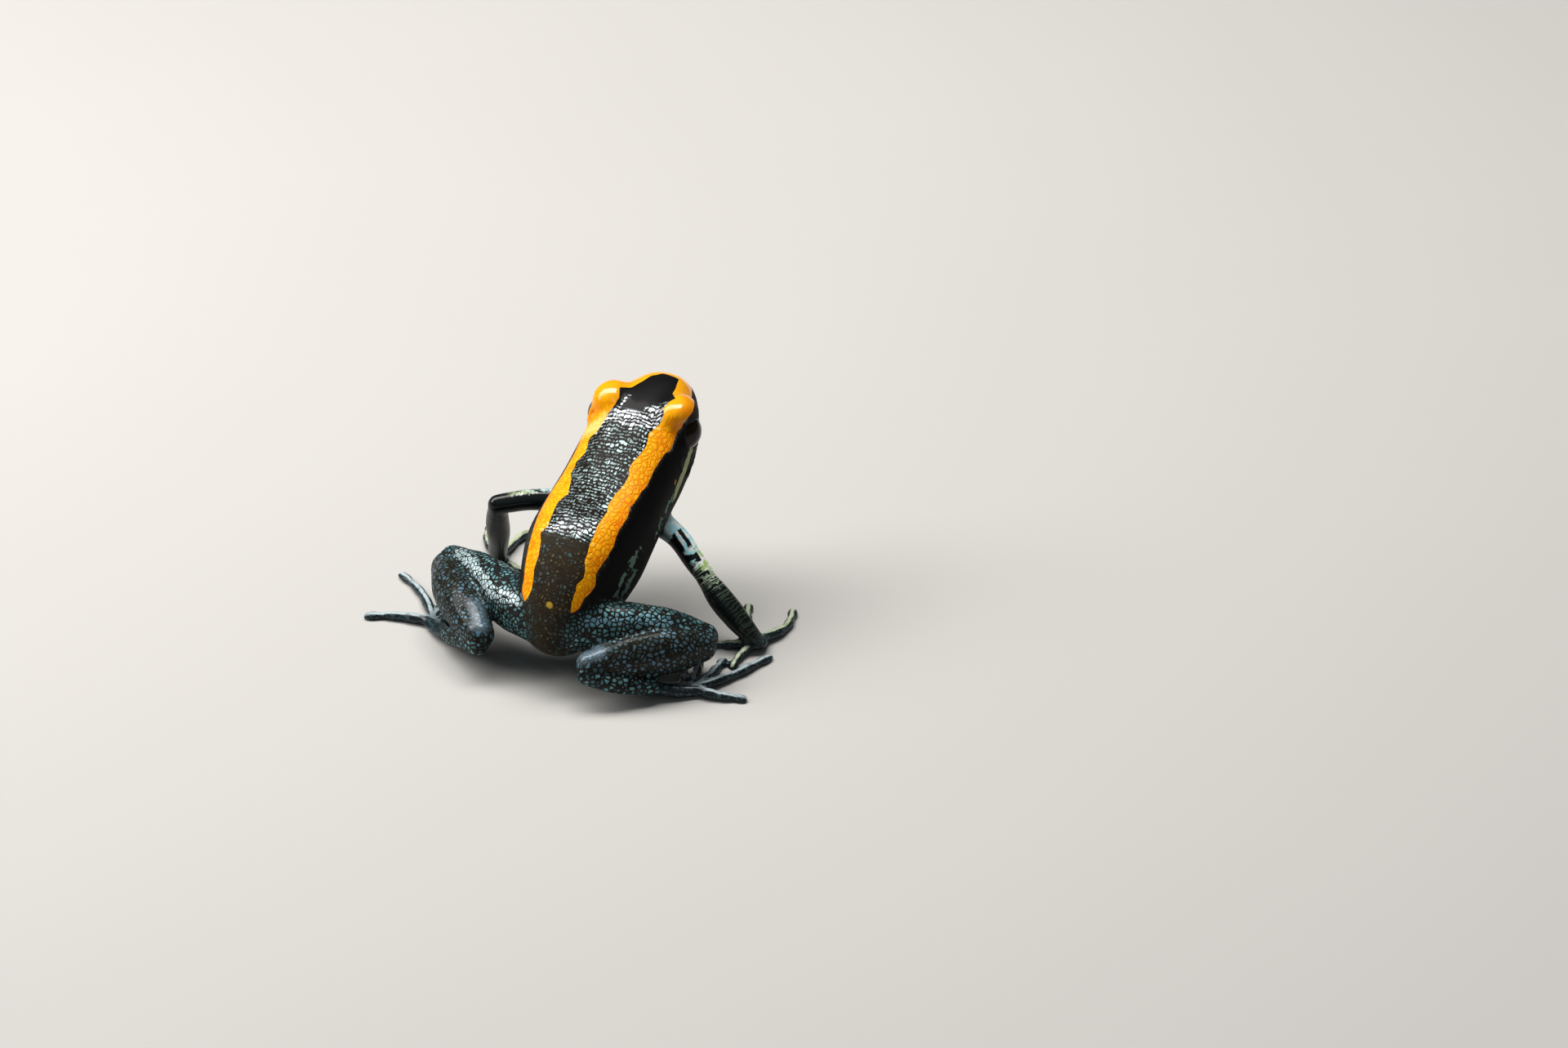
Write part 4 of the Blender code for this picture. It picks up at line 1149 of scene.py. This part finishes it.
    crown = times(on_body, plain, less(1.0, granular), ramp(angle, 62.0, 46.0), ramp(place, 8.5, 9.5))
    flank_skin = times(on_body, plain, ramp(angle, 46.0, 58.0))
    rough = add(
        0.34, times(flank_skin, 0.30), times(rump, 0.26), times(pebbled, 0.16), times(crown, 0.14),
        times(granular, plain, less(1.0, tops), 0.40), times(leg, less(1.0, leg_tops), 0.22),
        times(less(fine, 0.5), 0.10),
    )
    metal = times(silver_and_sheen, plain, ramp(painted_sheen, 0.0, 1.0, 0.55, 0.95))
    metal = add(metal, times(thigh_glint, leg_tops, 0.50), times(leg_mask, leg, 0.15))
    coat = add(
        times(stripe, ramp(place, 9.8, 10.8, 0.03, 1.0)), times(crown, 0.04), times(toes, 0.20),
        times(leg, 0.08), times(heel_glint, 0.30), times(arm, 0.22), times(granular, plain, 0.04),
    )

    wiring.feed(shader.inputs["Base Color"], colour)
    wiring.feed(shader.inputs["Roughness"], rough)
    wiring.feed(shader.inputs["Metallic"], metal)
    wiring.feed(shader.inputs["Coat Weight"], coat)
    wiring.feed(shader.inputs["Normal"], bump)
    shader.inputs["Specular IOR Level"].default_value = 0.08
    shader.inputs["Coat Roughness"].default_value = 0.13
    shader.inputs["Coat IOR"].default_value = 1.8
    return material


def eye_material():
    material, wiring, shader = new_material("dark_wet_eye")
    coords = wiring.node("ShaderNodeTexCoord").outputs["Object"]
    here = wiring.mapping(coords, (1.0 / MM,) * 3)
    pupil = wiring.field("pupil")
    fleck = wiring.noise(here, 9.0, 3.0, 0.6)
    iris = wiring.mix(fleck, (0.004, 0.003, 0.002, 1.0), (0.020, 0.011, 0.005, 1.0))
    colour = wiring.mix(wiring.ramp(pupil, -0.03, 0.03), iris, (0.0, 0.0, 0.0, 1.0))
    wiring.feed(shader.inputs["Base Color"], colour)
    wiring.feed(shader.inputs["Roughness"], wiring.ramp(fleck, 0.0, 1.0, 0.08, 0.14))
    shader.inputs["Specular IOR Level"].default_value = 0.18
    return material


def floor_material():
    material, wiring, shader = new_material("pale_matte_floor")
    coords = wiring.node("ShaderNodeTexCoord").outputs["Object"]
    cloud = wiring.noise(wiring.mapping(coords, (1.0 / MM,) * 3), 0.02, 2.0)
    colour = wiring.mix(cloud, (0.49, 0.48, 0.46, 1.0), (0.51, 0.50, 0.48, 1.0))
    wiring.feed(shader.inputs["Base Color"], colour)
    wiring.feed(shader.inputs["Roughness"], wiring.ramp(cloud, 0.0, 1.0, 0.80, 0.90))
    return material


def frog_origin():
    """Where the frog's own origin lies in the frame, from the two eyes."""
    boxes = [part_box("eye_" + side) for side, _ in SIDES]
    middles = [sum((Vector(corner) for corner in box), Vector()) / 2.0 for box in boxes]
    return Vector(((middles[0].x + middles[1].x) / 2.0, middles[0].y - EYE_CENTRE[1] * MM, 0.0))


def settle(item, name, material, nodes):
    """Bring a piece from the frog's millimetres into the frame, and say what it stands for."""
    item.name = item.data.name = name
    item.data.transform(Matrix.Translation(ORIGIN) @ Matrix.Scale(MM, 4))
    item.data.materials.clear()
    item.data.materials.append(material)
    item.data.shade_smooth()
    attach(item, "root")
    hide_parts(*nodes)
    return item


def build_eye(way):
    """The eyeball, with its pupil marked as a level oval."""
    shell = bmesh.new()
    add_ball(shell, (0.0, 0.0, 0.0), (EYE_RADIUS,) * 3, sides=64, rings=40)
    mesh = bpy.data.meshes.new("eye")
    shell.to_mesh(mesh)
    shell.free()
    item = bpy.data.objects.new("eye", mesh)
    bpy.context.collection.objects.link(item)
    eye = Skin(mesh)
    pupil = 1.0 - np.hypot(eye.points[:, 1] / PUPIL_RADII[0], eye.points[:, 2] / PUPIL_RADII[1])
    pupil = np.where(eye.points[:, 0] * way > 0.0, pupil, -1.0)
    eye.attribute("pupil", np.clip(pupil, -1.0, 1.0))
    eye.points += on_side(EYE_CENTRE, way)
    eye.write()
    return item


def area_light(name, direction, distance, size, power, colour, along):
    """A softbox that looks at the frog, its long side along one direction."""
    data = bpy.data.lights.new(name, "AREA")
    data.shape, data.size, data.size_y = "RECTANGLE", size[0], size[1]
    data.energy, data.color = power, colour
    item = bpy.data.objects.new(name, data)
    back = direction.normalized()
    x_axis = (along - back * along.dot(back)).normalized()
    y_axis = back.cross(x_axis)
    turn = Matrix((x_axis, y_axis, back)).transposed().to_4x4()
    item.matrix_world = Matrix.Translation(LIGHT_TARGET + back * distance) @ turn
    bpy.context.collection.objects.link(item)


ORIGIN = frog_origin()
LIGHT_TARGET = ORIGIN + Vector((0.0, -12.0, 8.0)) * MM

# The camera: the photograph's viewing angle, and the pixel of its 1920 x 1283 where one point falls.
AZIMUTH, ELEVATION = math.radians(204.0), math.radians(32.0)
LENS, SENSOR, DISTANCE = 100.0, 36.0, 355.0
PICTURE_WIDTH, PICTURE_HEIGHT = 1920, 1283
AIM, AIM_PIXEL_X, AIM_PIXEL_Y = (0.0, 0.0, 2.6), 672, 805


def place_camera():
    back = Vector((
        math.sin(AZIMUTH) * math.cos(ELEVATION), -math.cos(AZIMUTH) * math.cos(ELEVATION), math.sin(ELEVATION)
    ))
    turn = back.to_track_quat("Z", "Y")
    right, up = turn @ Vector((1.0, 0.0, 0.0)), turn @ Vector((0.0, 1.0, 0.0))
    pixel = SENSOR / LENS * DISTANCE / PICTURE_WIDTH
    move = right * (PICTURE_WIDTH / 2 - AIM_PIXEL_X) * pixel - up * (PICTURE_HEIGHT / 2 - AIM_PIXEL_Y) * pixel
    data = bpy.data.cameras.new("camera")
    data.lens, data.sensor_width = LENS, SENSOR
    data.clip_start, data.clip_end = 0.01, 20.0
    camera = bpy.data.objects.new("camera", data)
    camera.rotation_mode = "QUATERNION"
    camera.rotation_quaternion = turn
    camera.location = ORIGIN + (Vector(AIM) + back * DISTANCE + move) * MM
    bpy.context.collection.objects.link(camera)
    bpy.context.scene.camera = camera
    return right


def place_floor():
    shell = bmesh.new()
    bmesh.ops.create_grid(shell, x_segments=8, y_segments=8, size=3.0)
    mesh = bpy.data.meshes.new("floor")
    shell.to_mesh(mesh)
    shell.free()
    floor = bpy.data.objects.new("floor", mesh)
    bpy.context.collection.objects.link(floor)
    floor.data.materials.append(floor_material())


def light_scene(right):
    area_light("key", Vector((0.34, -0.18, 0.92)), 0.36, (0.50, 0.16), 2.4, (1.0, 0.98, 0.95), right)
    area_light("side", Vector((0.85, 0.30, 0.55)), 0.36, (0.14, 0.14), 0.55, (1.0, 0.99, 0.97), right)
    area_light("fill", Vector((-0.5, 0.8, 0.9)), 0.8, (0.8, 0.8), 0.35, (0.85, 0.92, 1.0), right)
    world = bpy.data.worlds.new("studio")
    bpy.context.scene.world = world
    world.use_nodes = True
    background = world.node_tree.nodes["Background"]
    background.inputs["Color"].default_value = (0.90, 0.94, 1.0, 1.0)
    background.inputs["Strength"].default_value = 0.05
    bpy.context.scene.view_settings.view_transform = "Standard"


flesh = [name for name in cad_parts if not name.startswith("eye")]
settle(build_skin(), "skin", skin_material(), flesh)
for side, way in SIDES:
    settle(build_eye(way), "eyeball_" + side, eye_material(), ["eye_" + side])
light_scene(place_camera())
place_floor()
